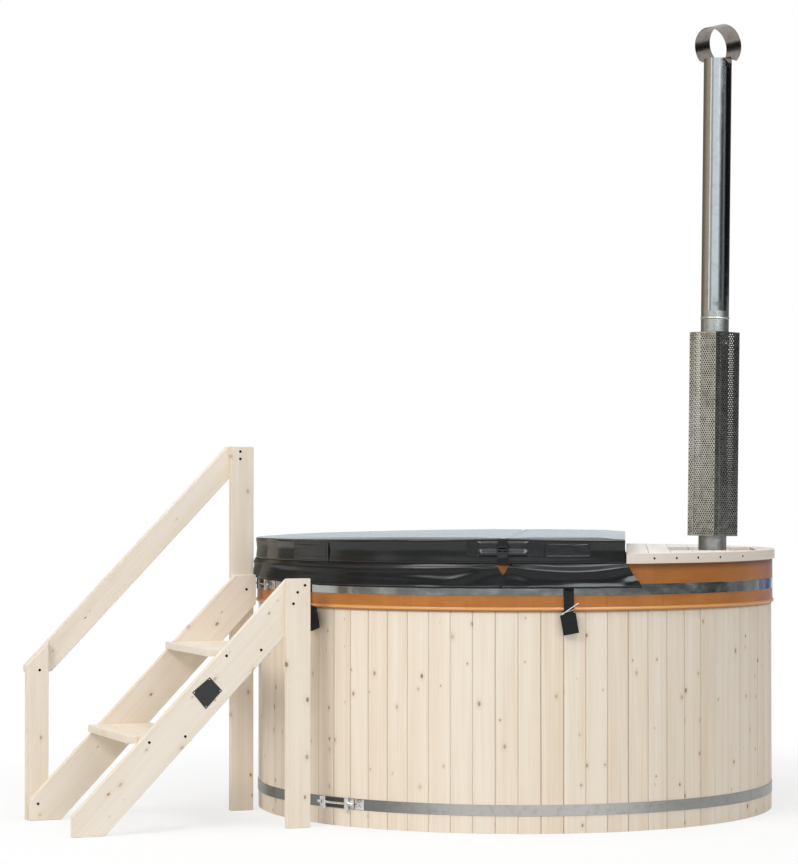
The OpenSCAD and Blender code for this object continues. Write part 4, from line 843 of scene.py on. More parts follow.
# %% Lid edge and nails
edge = clean_copy("lid_edge", "lid_strip", 40)
edge.data.attributes.new("grain", "FLOAT_VECTOR", "POINT")
edge.data.attributes.new("board", "FLOAT", "POINT")
for k, (x, y, z) in enumerate([v.co.copy() for v in edge.data.vertices]):
    edge.data.attributes["grain"].data[k].vector = (z, math.hypot(x, y), math.atan2(y, x) * 1.01)
    edge.data.attributes["board"].data[k].value = 4.0
planed_finish("lid_strip_wood", (0.77, 0.71, 0.65, 1), (0.68, 0.57, 0.48, 1), 0.1)
dress(weigh(edge), "lid_strip_wood", "spruce", "root", "lid_edge")
nails = [(on_wall(a, 1.010, 0.975), on_wall(a, 1, 0)) for a in (-57.8, -52.2, -46.3, -39.4, -30.8, 6.5, 16.0, 25.5,
                                                               35.0, 44.0, 52.5, 60.5)]
dress(seated_on("lid_nails", nails, SCREW, "screw_black", 0.8), "screw_black", "hoop_steel", "root")
bpy.data.objects.remove(SCREW)
print("lid strip with", len(nails), "nails")

# %% [markdown]
# ## Chimney
# Two lengths of stove pipe, one with a rolled bead under the joint, lean a little, as the real one does.
# They are turned upright and then set on the flue's foot by one matrix.

# %% Pipes, cap and brackets
LEAN = Matrix.Translation((0.765, -0.162, 0.940)) @ Matrix.Rotation(math.radians(0.75), 4, "Y")
PIPE, WALL, JOINT, TOP = 0.0535, 0.001, 0.965, 1.9333


def bead(z, reach=0.0022, half=0.004, parts=6):
    return [(PIPE + reach * math.sin(math.pi * k / parts), z - half * math.cos(math.pi * k / parts)) for k in range(parts + 1)]


lower = [(PIPE - WALL, 0.001), (PIPE, 0.001)] + bead(JOINT - 0.028) + [(PIPE, JOINT), (PIPE - WALL, JOINT)]
upper = [(PIPE - WALL - 0.0013, JOINT - 0.05), (PIPE - WALL - 0.0003, JOINT - 0.05), (PIPE - WALL - 0.0003, JOINT + 0.0003),
         (PIPE, JOINT + 0.0003), (PIPE, TOP), (PIPE - WALL, TOP), (PIPE - WALL, JOINT + 0.012),
         (PIPE - WALL - 0.0013, JOINT + 0.002)]
for name, profile, finish_name, node in (("pipe_low", lower, "pipe_brushed", "chimney_lower"),
                                         ("pipe_up", upper, "pipe_polished", "chimney_upper")):
    pipe = turned(name, profile, 96, 50)
    pipe.data.transform(LEAN)
    dress(pipe, finish_name, "pipe_steel", "root", node)
dress(weigh(clean_copy("rain_cap", "rain_cap_strip", 35)), "cap_steel", "pipe_steel", "root", "rain_cap")
dress(weigh(clean_copy("cap_lugs", "rain_cap_feet", 30)), "cap_steel", "pipe_steel", "root", "cap_lugs")
dress(weigh(clean_copy("guard_brackets", "guard_brackets_smooth", 35)), "stove_sheet", "guard_sheet", "root", "guard_brackets")

# %% [markdown]
# ## Heat guard
# Four sides of perforated sheet stand round the pipe. A tile with one hole is repeated by Geometry
# Nodes: a grid of points, every other row moved by half a pitch, with a plain half tile to fill the
# end of each row. Eight points on the tile's edge match those of its neighbours, so the tiles merge
# into one sheet. The plain margins and the fold round the corner are made by hand.

# %% One tile and its filler
GUARD_T = 0.0012
PITCH_X, PITCH_Z, HOLE_R = 0.0116, 0.00835, 0.0035


def tile_shape():
    edge = [(PITCH_X / 2 * a, PITCH_Z / 2 * b) for a, b in ((1, 0), (1, 1), (0, 1), (-1, 1), (-1, 0), (-1, -1), (0, -1), (1, -1))]
    hole = [(HOLE_R * math.cos(k * math.pi / 4), HOLE_R * math.sin(k * math.pi / 4)) for k in range(8)]
    points = [(x, y, z) for z in (0, GUARD_T) for x, y in edge + hole]
    faces = []
    for k in range(8):
        m = (k + 1) % 8
        faces += [(k, 8 + k, 8 + m, m), (16 + k, 16 + m, 24 + m, 24 + k), (8 + k, 24 + k, 24 + m, 8 + m)]
    return add_mesh("tile_shape", points, faces, 30)


def filler_shape():
    side = [(-1, -1), (1, -1), (1, 0), (1, 1), (-1, 1), (-1, 0)]
    points = [(PITCH_X / 4 * a, PITCH_Z / 2 * b, z) for z in (0, GUARD_T) for a, b in side]
    return add_mesh("filler_shape", points, [(5, 4, 3, 2, 1, 0), (6, 7, 8, 9, 10, 11)], 30)


TILE, FILLER = tile_shape(), filler_shape()

# %% Tree: perforated sheet
perforated = bpy.data.node_groups.new("perforated_sheet", "GeometryNodeTree")
t = perforated
socket(t, "Sheet", "Geometry")
GUARD_IN = {label: socket(t, label, kind) for label, kind in (
    ("Columns", "Int"), ("Rows", "Int"), ("Pitch across", "Float"), ("Pitch up", "Float"),
    ("Tile", "Object"), ("Filler", "Object"), ("Finish", "Material"))}
socket(t, "Result", "Geometry", side="OUTPUT")
given = t.nodes.new("NodeGroupInput").outputs
across = lambda op, *terms: calc(t, op, *terms)
grid = put(t, "GeometryNodeMeshGrid", {
    "Size X": across("MULTIPLY", across("SUBTRACT", given["Columns"], 1.0), given["Pitch across"]),
    "Size Y": across("MULTIPLY", across("SUBTRACT", given["Rows"], 1.0), given["Pitch up"]),
    "Vertices X": given["Columns"], "Vertices Y": given["Rows"]}).outputs[0]
row = across("FLOORED_MODULO", put(t, "GeometryNodeInputIndex").outputs[0], given["Rows"])
odd = across("FLOORED_MODULO", row, 2.0)
push = across("MULTIPLY", across("SUBTRACT", odd, 0.5), across("MULTIPLY", given["Pitch across"], 0.5))
moved = put(t, "GeometryNodeSetPosition", {"Geometry": grid, "Offset": put(t, "ShaderNodeCombineXYZ", {0: push}).outputs[0]}).outputs[0]
tiles = put(t, "GeometryNodeInstanceOnPoints", {"Points": moved, "Instance": put(t, "GeometryNodeObjectInfo", {"Object": given["Tile"]}).outputs["Geometry"]}).outputs[0]
column = put(t, "GeometryNodeMeshGrid", {"Size X": 0.0, "Size Y": across("MULTIPLY", across("SUBTRACT", given["Rows"], 1.0), given["Pitch up"]),
                                         "Vertices X": 2, "Vertices Y": given["Rows"]}).outputs[0]
at_end = across("MULTIPLY", across("SUBTRACT", 0.5, odd), across("MULTIPLY", given["Columns"], given["Pitch across"]))
first = put(t, "FunctionNodeCompare", {0: put(t, "GeometryNodeInputIndex").outputs[0], 1: given["Rows"]}, data_type="FLOAT", operation="LESS_THAN").outputs[0]
ends = put(t, "GeometryNodeSetPosition", {"Geometry": column, "Offset": put(t, "ShaderNodeCombineXYZ", {0: at_end}).outputs[0]}).outputs[0]
fillers = put(t, "GeometryNodeInstanceOnPoints", {"Points": ends, "Selection": first, "Instance": put(t, "GeometryNodeObjectInfo", {"Object": given["Filler"]}).outputs["Geometry"]}).outputs[0]
both = t.nodes.new("GeometryNodeJoinGeometry")
for part in (tiles, fillers):
    t.links.new(part, both.inputs[0])
merged = put(t, "GeometryNodeMergeByDistance", {0: put(t, "GeometryNodeRealizeInstances", {0: both.outputs[0]}).outputs[0], "Distance": 0.0001}).outputs[0]
put(t, "NodeGroupOutput", {0: put(t, "GeometryNodeSetMaterial", {0: merged, "Material": given["Finish"]}).outputs[0]})
print("perforated sheet tree:", len(t.nodes), "nodes")

# %% The four sides
COLUMNS, LAP_COLUMNS, ROWS = 9, 2, 92
GUARD_W, GUARD_L, GUARD_LOW, SEAT = 0.132, 0.780, 0.104, 0.0003
FIELD_W, FIELD_L = (COLUMNS + 0.5) * PITCH_X, ROWS * PITCH_Z
# the field starts half a hole under the next sheet's lap, so the holes run on without a plain strip
FIELD_AT = LAP_COLUMNS * PITCH_X


def guard_side(number):
    field, lap = [grown(add_mesh("guard_seed", [(0, 0, 0)], []), perforated, name, {
        GUARD_IN["Columns"]: columns, GUARD_IN["Rows"]: ROWS, GUARD_IN["Pitch across"]: PITCH_X,
        GUARD_IN["Pitch up"]: PITCH_Z, GUARD_IN["Tile"]: TILE, GUARD_IN["Filler"]: FILLER,
        GUARD_IN["Finish"]: FINISHES["guard_sheet"]})
        for name, columns in ((f"guard_side_{number + 1}", COLUMNS), ("guard_lap", LAP_COLUMNS))]
    bm = bmesh.new()
    bm.from_mesh(field.data)
    # the rows of the front and back sheets don't line up, so little light comes straight through
    lift = 0.0050 if number < 2 else 0.0
    middle = Vector((FIELD_AT + FIELD_W / 2, GUARD_L / 2 + lift, 0))
    bmesh.ops.translate(bm, vec=middle, verts=bm.verts[:])
    x0, x1 = FIELD_AT, FIELD_AT + FIELD_W
    y0, y1 = (GUARD_L - FIELD_L) / 2 + lift, (GUARD_L + FIELD_L) / 2 + lift
    end = GUARD_W + 2 * GUARD_T
    for low, high in (((SEAT, 0), (x0, GUARD_L)), ((x1, 0), (end - 0.0012, GUARD_L)), ((x0, 0), (x1, y0)), ((x0, y1), (x1, GUARD_L))):
        block(bm, (*low, 0), (*high, GUARD_T))
    # the lap that lies on the next side, joined by the fold, a quarter round
    lap_w = (LAP_COLUMNS + 0.5) * PITCH_X
    lap.data.transform(Matrix(((0, 0, 1, end - GUARD_T), (0, 1, 0, GUARD_L / 2 + lift), (-1, 0, 0, -lap_w / 2), (0, 0, 0, 1))))
    bm.from_mesh(lap.data)
    bpy.data.objects.remove(lap)
    for low, high in ((0, y0), (y1, GUARD_L)):
        block(bm, (end - GUARD_T, low, -lap_w), (end, high, 0))
    turn = [(end - 0.0012 + 0.0012 * math.sin(a), 0.0012 - 0.0012 * (1 - math.cos(a))) for a in (math.pi / 2 * k / 4 for k in range(5))]
    outline = turn + [(end - 0.0012, 0.0)]
    ring = [[bm.verts.new((x, y, z)) for x, z in outline] for y in (0, GUARD_L)]
    bm.faces.new(ring[0])
    bm.faces.new(list(reversed(ring[1])))
    for k in range(len(outline)):
        m = (k + 1) % len(outline)
        bm.faces.new((ring[0][k], ring[1][k], ring[1][m], ring[0][m]))
    # faces that look inward, and the walls of the holes, are marked for painted shade: near black inside the guard and
    # in the holes
    inside = bm.faces.layers.float.new("inside")
    bm.normal_update()
    for f in bm.faces:
        spot = f.calc_center_median()
        on_lap = spot.x > end - GUARD_T and spot.z < 0
        outward = f.normal.x if on_lap else f.normal.z
        under_lap = spot.x < x0 and outward > 0.5 and not on_lap
        in_field = y0 < spot.y < y1 and (on_lap or x0 < spot.x < x1)
        f[inside] = 1.0 if outward < -0.5 or under_lap else 0.85 if abs(outward) < 0.5 and in_field else 0.0
    # the sheet's own axes: across to +Y, up to +Z, outward to +X
    stand = Matrix(((0, 0, 1, GUARD_W / 2), (1, 0, 0, -GUARD_W / 2), (0, 1, 0, GUARD_LOW), (0, 0, 0, 1)))
    spin = Matrix.Rotation(math.radians(46 + 90 * number), 4, "Z")
    bmesh.ops.transform(bm, matrix=LEAN @ spin @ stand, verts=bm.verts[:])
    bm.to_mesh(field.data)
    bm.free()
    field.data.shade_flat()
    return dress(field, "guard_sheet", "guard_sheet", "root", f"guard_panel_{number + 1}")


sides = [guard_side(k) for k in range(4)]
for shape in (TILE, FILLER):
    bpy.data.objects.remove(shape)
print("guard:", COLUMNS * ROWS, "holes a side,", len(sides[0].data.polygons), "faces a side")

# %% [markdown]
# ## Padded cover
# The cover is two foam boards in one vinyl skin, folded along the tub's middle. A panel is made row by
# row: its outline, an arc closed by straight sides, is moved in by a little more for each row, down
# the drawn-in side and over the rounded shoulder to the crowned top.

# %% Sizes of the cover
cover_low, cover_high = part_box("cover_panel_left")
COVER_R, COVER_Z = -cover_low.x, cover_low.z
FOLD = -cover_high.x
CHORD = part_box("cover_panel_right")[1].x
SKIN_R = COVER_R + 0.0003
PAD_EDGE, PAD_MID, CROWN, DRAW, SHOULDER, SOFT = 0.079, 0.092, 0.0034, 0.003, 0.006, 0.170
print("cover radius", round(COVER_R, 4), "chord", round(CHORD, 4))


def pad_top(x, inset):
    """Height of a panel's top: thick at the fold, with a rounded shoulder and a soft crown."""
    slope = (PAD_MID - PAD_EDGE) * min(abs(x) / COVER_R, 1)
    return (COVER_Z + PAD_MID - slope - SHOULDER * 0.8 * max(1 - inset / SHOULDER, 0) ** 2
            + CROWN * (1 - max(1 - inset / SOFT, 0) ** 2))


def arc_points(radius, start, end, count):
    return [(radius * math.cos(start + (end - start) * k / count), radius * math.sin(start + (end - start) * k / count))
            for k in range(count + 1)]


def outline(x0, x1, inset, count, straight):
    """A panel's outline between x0 and x1, moved in, counter-clockwise."""
    r, xa, xb = COVER_R - inset, x0 + inset, x1 - inset
    rounded = x0 <= -COVER_R
    a0, a1 = math.pi if rounded else math.acos(xa / r), math.acos(xb / r)
    yb = math.sqrt(r * r - xb * xb)
    points = arc_points(r, -a0, -a1, count)
    points += [(xb, yb * (2 * k / straight - 1)) for k in range(1, straight)]
    points += arc_points(r, a1, a0, count)
    if rounded:
        return points[:-1]
    ya = math.sqrt(max(r * r - xa * xa, 0))
    return points + [(xa, ya * (1 - 2 * k / straight)) for k in range(1, straight)]

# %% [markdown]
# The skin is a little larger than its foam, so it puffs up and wrinkles near the seams. Blender's Cloth
# works that out on an open sheet with a point every 20 mm: it is pinned along its edge, blown up with a
# light pressure and made half a percent too big. Only the rise of each point is kept, limited to a few
# millimetres, and near the fold to less, because there the two panels close on each other.

# %% Rise of the skin
STEP = 0.02


def skin_rise(name, x0, x1):
    """The rise of a panel's top on a 20 mm grid, from a cloth simulation."""

    def inset_at(x, y):
        return min(COVER_R - math.hypot(x, y), x1 - x, x - x0 if x0 > -COVER_R else 9)

    spots = {}
    for i in range(math.floor(x0 / STEP), math.ceil(x1 / STEP) + 1):
        for j in range(-51, 52):
            if inset_at(i * STEP, j * STEP) > 0.002:
                spots[i, j] = len(spots)
    start = [(i * STEP, j * STEP, pad_top(i * STEP, inset_at(i * STEP, j * STEP))
              + 0.0006 * noise.noise(Vector((i * 0.31, j * 0.31, x0)))) for i, j in spots]
    faces = [(spots[i, j], spots[i + 1, j], spots[i + 1, j + 1], spots[i, j + 1]) for i, j in spots
             if all(k in spots for k in ((i + 1, j), (i + 1, j + 1), (i, j + 1)))]
    sheet = add_mesh(name + "_sheet", start, faces)
    pins = sheet.vertex_groups.new(name="edge")
    pins.add([k for k, (x, y, _) in enumerate(start) if inset_at(x, y) < 0.024], 1.0, "REPLACE")
    cloth = sheet.modifiers.new("air", "CLOTH")
    cloth.settings.quality = 6
    cloth.settings.mass = 0.5
    cloth.settings.tension_stiffness = cloth.settings.compression_stiffness = 18
    cloth.settings.bending_stiffness = 0.8
    cloth.settings.vertex_group_mass = "edge"
    cloth.settings.use_pressure = True
    cloth.settings.uniform_pressure_force = 4
    cloth.settings.shrink_min = -0.005
    cloth.settings.effector_weights.gravity = 0
    cloth.collision_settings.use_collision = False
    cloth.point_cache.frame_end = 20
    scene = bpy.context.scene
    for frame_number in range(1, 21):
        scene.frame_set(frame_number)
    blown = sheet.evaluated_get(bpy.context.evaluated_depsgraph_get()).to_mesh()
    rise = {}
    for (i, j), k in spots.items():
        most = min(0.0026, 0.0009 + 0.006 * abs(i * STEP) ** 1.2)
        rise[i, j] = min(max(blown.vertices[k].co.z - start[k][2], -0.001), 1.0)
        rise[i, j] = most * math.tanh(rise[i, j] / most)
    bpy.data.objects.remove(sheet)
    scene.frame_set(1)
    print(name, "skin:", len(spots), "points, most rise", round(max(rise.values()) * 1000, 1), "mm")
    return rise


def read_rise(rise, x, y):
    """The rise between the grid's points."""
    i, j = math.floor(x / STEP), math.floor(y / STEP)
    s, t = x / STEP - i, y / STEP - j
    a, b, c, d = (rise.get(key, 0.0) for key in ((i, j), (i + 1, j), (i, j + 1), (i + 1, j + 1)))
    return (a * (1 - s) + b * s) * (1 - t) + (c * (1 - s) + d * s) * t

# %% The two panels
def panel(name, x0, x1, count, straight, deepest):
    rise = skin_rise(name, x0, x1)
    insets = [0.0, 0.0015, 0.0035, 0.006, 0.009, 0.012, 0.017, 0.025] + [0.04 + 0.02 * k for k in range(60)]
    insets = [d for d in insets if d < deepest] + [deepest]
    flat = outline(x0, x1, 0, count, straight)
    rows = [[(x, y, COVER_Z) for x, y in outline(x0, x1, 0.004, count, straight)]]
    for share in (0.02, 0.06, 0.14, 0.24, 0.35, 0.46, 0.58, 0.70, 0.82, 0.92):
        row = []
        for k, (x, y) in enumerate(flat):
            ripple = 0.5 + 0.5 * noise.noise(Vector((x * 9, y * 9, share * 5)))
            inset = 0.004 * max(1 - share / 0.06, 0) ** 2 + (DRAW + 0.0012 * ripple) * math.sin(math.pi * share) ** 1.4
            high = pad_top(x, 0) - COVER_Z
            # moving in along the outline's own normal: to the middle on the arc, along x on a straight side
            arc = math.hypot(x, y) > COVER_R - 1e-6
            nx, ny = (-x / COVER_R, -y / COVER_R) if arc else ((-1 if x > (max(x0, -COVER_R) + x1) / 2 else 1), 0)
            row.append((x + nx * inset, y + ny * inset, COVER_Z + high * share))
        rows.append(row)
    for inset in insets:
        row = []
        for x, y in outline(x0, x1, inset, count, straight):
            lift = read_rise(rise, x, y) * ease((inset - 0.01) / 0.10)
            row.append((x, y, pad_top(x, inset) + lift))
        rows.append(row)
    bm = bmesh.new()
    made = [[bm.verts.new(p) for p in row] for row in rows]
    n = len(flat)
    for low, high in zip(made, made[1:]):
        for k in range(n):
            bm.faces.new((low[k], low[(k + 1) % n], high[(k + 1) % n], high[k]))
    bm.faces.new(list(reversed(made[0])))
    bm.faces.new(made[-1])
    return close(bm, name, smooth=50)


left_panel = panel("panel_left", -COVER_R, -FOLD, 150, 90, 0.49)
right_panel = panel("panel_right", FOLD, CHORD, 28, 90, 0.205)
dress(left_panel, "cover_vinyl", "cover_vinyl", "cover_left", "cover_panel_left")
dress(right_panel, "cover_vinyl", "cover_vinyl", "cover_right", "cover_panel_right")
print("panels:", len(left_panel.data.polygons), "and", len(right_panel.data.polygons), "faces")

# %% [markdown]
# ## Seams and welts
# A welt is a thin cord sewn into a seam, which shows as a rounded line where the top meets the side.
# Over the fold lies a strip of the same vinyl. Shells are closed sheets: an inner and an outer face,
# joined round their rim.

# %% Shells and tubes
def tube(bm, path, radius, sides=8, loop=False):
    """A round cord along a path, its ends closed unless it is a loop."""
    path = [Vector(p) for p in path]
    n = len(path)
    side, rings = None, []
    for k, p in enumerate(path):
        way = (path[(k + 1) % n] - path[k - 1]) if loop else (path[min(k + 1, n - 1)] - path[max(k - 1, 0)])
        way.normalize()
        side = (side or way.orthogonal())
        side = (side - way * side.dot(way)).normalized()
        up = way.cross(side)
        r = radius(k / (n - 1)) if callable(radius) else radius
        rings.append([bm.verts.new(p + (side * math.cos(a) + up * math.sin(a)) * r)
                      for a in (2 * math.pi * i / sides for i in range(sides))])
    pairs = zip(rings, rings[1:] + rings[:1]) if loop else zip(rings, rings[1:])
    for a, b in pairs:
        for i in range(sides):
            bm.faces.new((a[i], a[(i + 1) % sides], b[(i + 1) % sides], b[i]))
    if not loop:
        bm.faces.new(list(reversed(rings[0])))
        bm.faces.new(rings[-1])


# %% Welts and the strip over the fold
def welt(name, start, end, body):
    bm = bmesh.new()
    count = max(8, int(abs(end - start) / 1.2))
    path = []
    for k in range(count + 1):
        turn = start + (end - start) * k / count
        x = COVER_R * math.cos(math.radians(turn))
        path.append(on_wall(turn, COVER_R - 0.0021, pad_top(x, 0) + 0.0004))
    tube(bm, path, 0.0019, 8)
    return dress(close(bm, name), "cover_vinyl", "cover_vinyl", body)


chord_turn = math.degrees(math.acos(CHORD / COVER_R))
fold_turn = math.degrees(math.asin(FOLD / COVER_R))
welt("welt_left", 90 + fold_turn, 270 - fold_turn, "cover_left")
welt("welt_right_near", -90 + fold_turn, -chord_turn, "cover_right")
welt("welt_right_far", chord_turn, 90 - fold_turn, "cover_right")


def fold_strip(u, v, k):
    x = (u - 0.5) * 0.046
    y = (v - 0.5) * 2 * 0.9865
    dip = 0.0024 * math.exp(-(x / 0.006) ** 2)
    ridge = 0.0005 * math.exp(-((abs(x) - 0.0205) / 0.0012) ** 2)
    end = ease((0.9865 - abs(y)) / 0.03)
    z = COVER_Z + PAD_MID - (PAD_MID - PAD_EDGE) * abs(x) / COVER_R + 0.0002 - dip - (1 - end) * 0.0006
    z += CROWN * (1 - max(1 - max(abs(x) - FOLD, 0) / SOFT, 0) ** 2)
    return (x, y, z + (0.0007 + ridge if k else 0.0))


strip = shell("fold_strip", fold_strip, 24, 60)
dress(strip, "cover_vinyl", "cover_vinyl", None, "cover_panel_left", "cover_panel_right")
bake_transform(strip)
print("welts from", round(-chord_turn, 1), "degrees")

# %% [markdown]
# ## Hanging flaps
# A single sheet of vinyl is sewn under each panel's side and hangs down over the tub's rim. It flares
# out a little, swells over the hoop's lock, and has a few soft folds. Its hem is turned up and sewn,
# which shows as a thicker band. At the fold, the left and right flaps leave a V-shaped notch.

# %% The flap's form
LOCK_TURN, LOCK_SWELL, FLAP_DROP, FLAP_T = -158.5, 0.0155, 0.086, 0.0014
# turn of the fold's middle, share of the height, rise in share per degree, height, half width in degrees, half width in share
SOFT_FOLDS = [(-61.8, 0.72, -0.03, 0.0085, 3.2, 0.2), (-96.5, 0.46, -0.05, 0.0050, 4.5, 0.17),
              (-87.0, 0.66, 0.04, 0.0030, 2.0, 0.2), (-70.0, 0.93, 0.0, 0.0025, 9.0, 0.1),
              (-106.0, 0.60, 0.010, 0.0020, 8.0, 0.13), (-121.0, 0.52, 0.004, 0.0018, 9.0, 0.12),
              (-137.0, 0.58, -0.006, 0.0022, 7.0, 0.12), (160.0, 0.5, 0.01, 0.003, 9.0, 0.15),
              (138.0, 0.55, -0.012, 0.004, 8.0, 0.16), (118.0, 0.45, 0.01, 0.0035, 9.0, 0.15),
              (101.0, 0.5, -0.02, 0.004, 6.0, 0.16), (80.0, 0.45, 0.02, 0.004, 6.0, 0.16), (70.0, 0.5, 0.03, 0.004, 5.0, 0.18)]


def turn_gap(a, b):
    return (a - b + 180) % 360 - 180


def flap_inner(turn, share):
    """Radius of the flap's inner face, as in the CAD source."""
    near = math.exp(-(turn_gap(turn, LOCK_TURN) / 9) ** 2)
    return SKIN_R + share * (0.008 + 0.003 * math.sin(math.radians(turn * 23)) + LOCK_SWELL * near)


def flap_drop(turn, share):
    """How far below the cover a point hangs; over the lock the flap is pushed out and rides up."""
    lifted = 0.017 * math.exp(-(turn_gap(turn, LOCK_TURN - 6) / 20) ** 2)
    return share * (FLAP_DROP - lifted + 0.0012 * noise.noise(Vector((turn * 0.4, 0, 7))))


def soft_folds(turn, share):
    found = 0.0
    for middle, at, rise, height, wide, tall in SOFT_FOLDS:
        away = turn_gap(turn, middle)
        crest = at + rise * away
        found += height * math.exp(-(away / wide) ** 2) * math.exp(-((share - crest) / tall) ** 2)
    # the roll under the seam, which sags along the right flap
    crest = 0.34 - 0.0014 * (turn + 76) ** 2 if -90 < turn < -60 else 0.21 + 0.05 * math.sin(math.radians(turn * 5))
    tall, high = (0.19, 0.0100) if -90 < turn < -60 else (0.15, 0.0048)
    found += high * math.exp(-((share - crest) / tall) ** 2)
    found += 0.0007 * (0.5 + 0.5 * noise.noise(Vector((turn * 0.35, share * 2.2, 3.0)))) * math.sin(math.pi * min(share, 1))
    return found * ease(share / 0.12)


def notch(share, side):
    """Half width of the gap between the two flaps at the fold, in degrees: a V that closes half way down."""
    wide = max(0.0003 if side == "left" else -0.006, 0.026 * (1 - share / 0.48))
    wide += (0.017 if side == "left" else -0.024) * ease((share - 0.84) / 0.16)
    return math.degrees(math.asin(wide / COVER_R))


def flap(name, start, end, across, body, nodes):
    """start and end give the turn of each side edge at a share of the height."""
    def shape(u, v, k):
        share = 1 - v
        a0, a1 = start(share), end(share)
        u = 0.5 - 0.5 * math.cos(math.pi * u) if across < 60 else u
        turn = a0 + (a1 - a0) * u
        radius = flap_inner(turn, share) + soft_folds(turn, share)
        if name == "flap_right_near":
            radius -= 0.004 * ease((-89.95 - turn) / 0.3)
        if k:
            side_gap = min(abs(turn - a0), abs(a1 - turn)) * math.pi / 180
            hem = max(1 - ease((share - 0.05) / 0.03), ease((share - 0.90) / 0.02), 1 - ease((side_gap - 0.007) / 0.0015))
            radius += FLAP_T + 0.0011 * hem
        return on_wall(turn, radius, COVER_Z - 0.0003 - flap_drop(turn, share))
    obj = shell(name, shape, across, 34)
    return dress(obj, "flap_vinyl", "cover_vinyl", body, *nodes)


FLAPS = [("flap_left", lambda s: -270 + notch(s, "left"), lambda s: -90 - notch(s, "left"), 420, "cover_left", ("cover_flap_left",)),
         ("flap_right_near", lambda s: -90 + notch(s, "right"), lambda s: -chord_turn + 3.5 * s, 84, "cover_right", ("cover_flap_right",)),
         ("flap_right_far", lambda s: chord_turn - 3.5 * s, lambda s: 90 - notch(s, "right"), 84, "cover_right", ("cover_flap_right",))]
for name, start, end, across, body, nodes in FLAPS:
    flap(name, start, end, across, body, nodes)
    long = math.radians(end(0.5) - start(0.5)) * (SKIN_R + 0.005)
    # one height is cut for the whole piece, so it is the longest way down over the folds, wherever that is
    ways = []
    for n in range(1, 60):
        turn = start(0.5) + (end(0.5) - start(0.5)) * n / 60
        down = [on_wall(turn, flap_inner(turn, k / 60) + soft_folds(turn, k / 60), -flap_drop(turn, k / 60)) for k in range(61)]
        ways.append(sum((b - a).length for a, b in zip(down, down[1:])))
    tall = max(ways)
    print(name, "cut", round(long, 3), "m long and", round(tall, 4), "m tall without its hem")

# %% [markdown]
# ## Gussets at the fold
# Where the fold meets the cover's side, a puffed strip of vinyl lets the two halves open. It is a
# pillow with its fullest roll low down, and small pleats where it is sewn to the right panel. It
# crosses the hinge.

# %% Gussets and handle patches
GUSSET_LOW, GUSSET_HIGH = COVER_Z + 0.0277, COVER_Z + 0.081


def ramp(value, stops):
    """Straight lines between (place, height) stops."""
    for (a, p), (b, q) in zip(stops, stops[1:]):
        if value <= b:
            return p + (q - p) * (value - a) / (b - a)
    return stops[-1][1]


def gusset(name, middle, way):
    """way is +1 where rising turns go to the right panel."""
    reach = (-7.4, 8.4)

    def shape(u, v, k):
        away = reach[0] + (reach[1] - reach[0]) * u
        turn = middle + way * away
        full = ease((5.5 - abs(away)) / 1.3)
        depth = ramp(v, ((0, 0.001), (0.05, 0.0060), (0.12, 0.0092), (0.19, 0.0098), (0.26, 0.0088), (0.36, 0.0062),
                         (0.46, 0.0040), (0.62, 0.0032), (0.82, 0.0042), (0.93, 0.0036), (1, 0.0008)))
        depth += 0.0005 * noise.noise(Vector((away * 0.8, v * 3, middle)))
        pleats = 0.0011 * (0.5 + 0.5 * math.cos(away * 2 * math.pi / 0.85)) * ease((abs(away) - 5.4) / 0.3)
        pleats *= math.sin(math.pi * min(max(v, 0.02), 0.98)) ** 0.4 * ease((8.4 - abs(away)) / 0.3 + 0.2)
        radius = SKIN_R + (0.0005 + full * depth + pleats if k else 0.0)
        return on_wall(turn, radius, GUSSET_LOW + (GUSSET_HIGH - GUSSET_LOW) * v)

    obj = shell(name, shape, 132, 22)
    dress(obj, "patch_vinyl", "cover_vinyl", None, "fold_gusset_left", "fold_gusset_right")
    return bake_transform(obj)


gusset("gusset_near", -90, 1)
gusset("gusset_far", 90, -1)


def patch(name, start, end, low, high, body, node, creases, seed):
    def shape(u, v, k):
        turn = start + (end - start) * u
        away = min(u, 1 - u) * abs(end - start) * math.pi / 180 * SKIN_R
        rim = min(away, min(v, 1 - v) * (high - low))
        crease = 0.5 + 0.5 * noise.noise(Vector((u * 2.2, v * creases, seed)))
        seam = 0.0007 * math.exp(-((rim - 0.006) / 0.0011) ** 2)
        thick = 0.0007 + 0.0013 * crease * ease((rim - 0.006) / 0.006) + 0.0006 * (1 - ease((rim - 0.0065) / 0.001)) - seam
        return on_wall(turn, SKIN_R + (thick if k else 0.0), low + (high - low) * v)
    obj = shell(name, shape, 90, 36)
    return dress(obj, "patch_vinyl", "cover_vinyl", body, node)


patch("patch_left", -141.7, -130, COVER_Z + 0.002, COVER_Z + 0.071, "cover_left", "handle_patch_left", 8, 1.0)
patch("patch_right", -81.5, -72.1, COVER_Z + 0.024, COVER_Z + 0.079, "cover_right", "handle_patch_right", 7, 2.0)
print("gussets and patches")

# %% [markdown]
# ## Straps and their ends
# Webbing is a flat band along a path. Its attribute holds metres across and along, so that the ribs in
# its material run across it wherever it bends. The fold strap has a side-release buckle. The spare end
# of each tie strap is wound up flat and held by a white cable tie, its tail standing out.

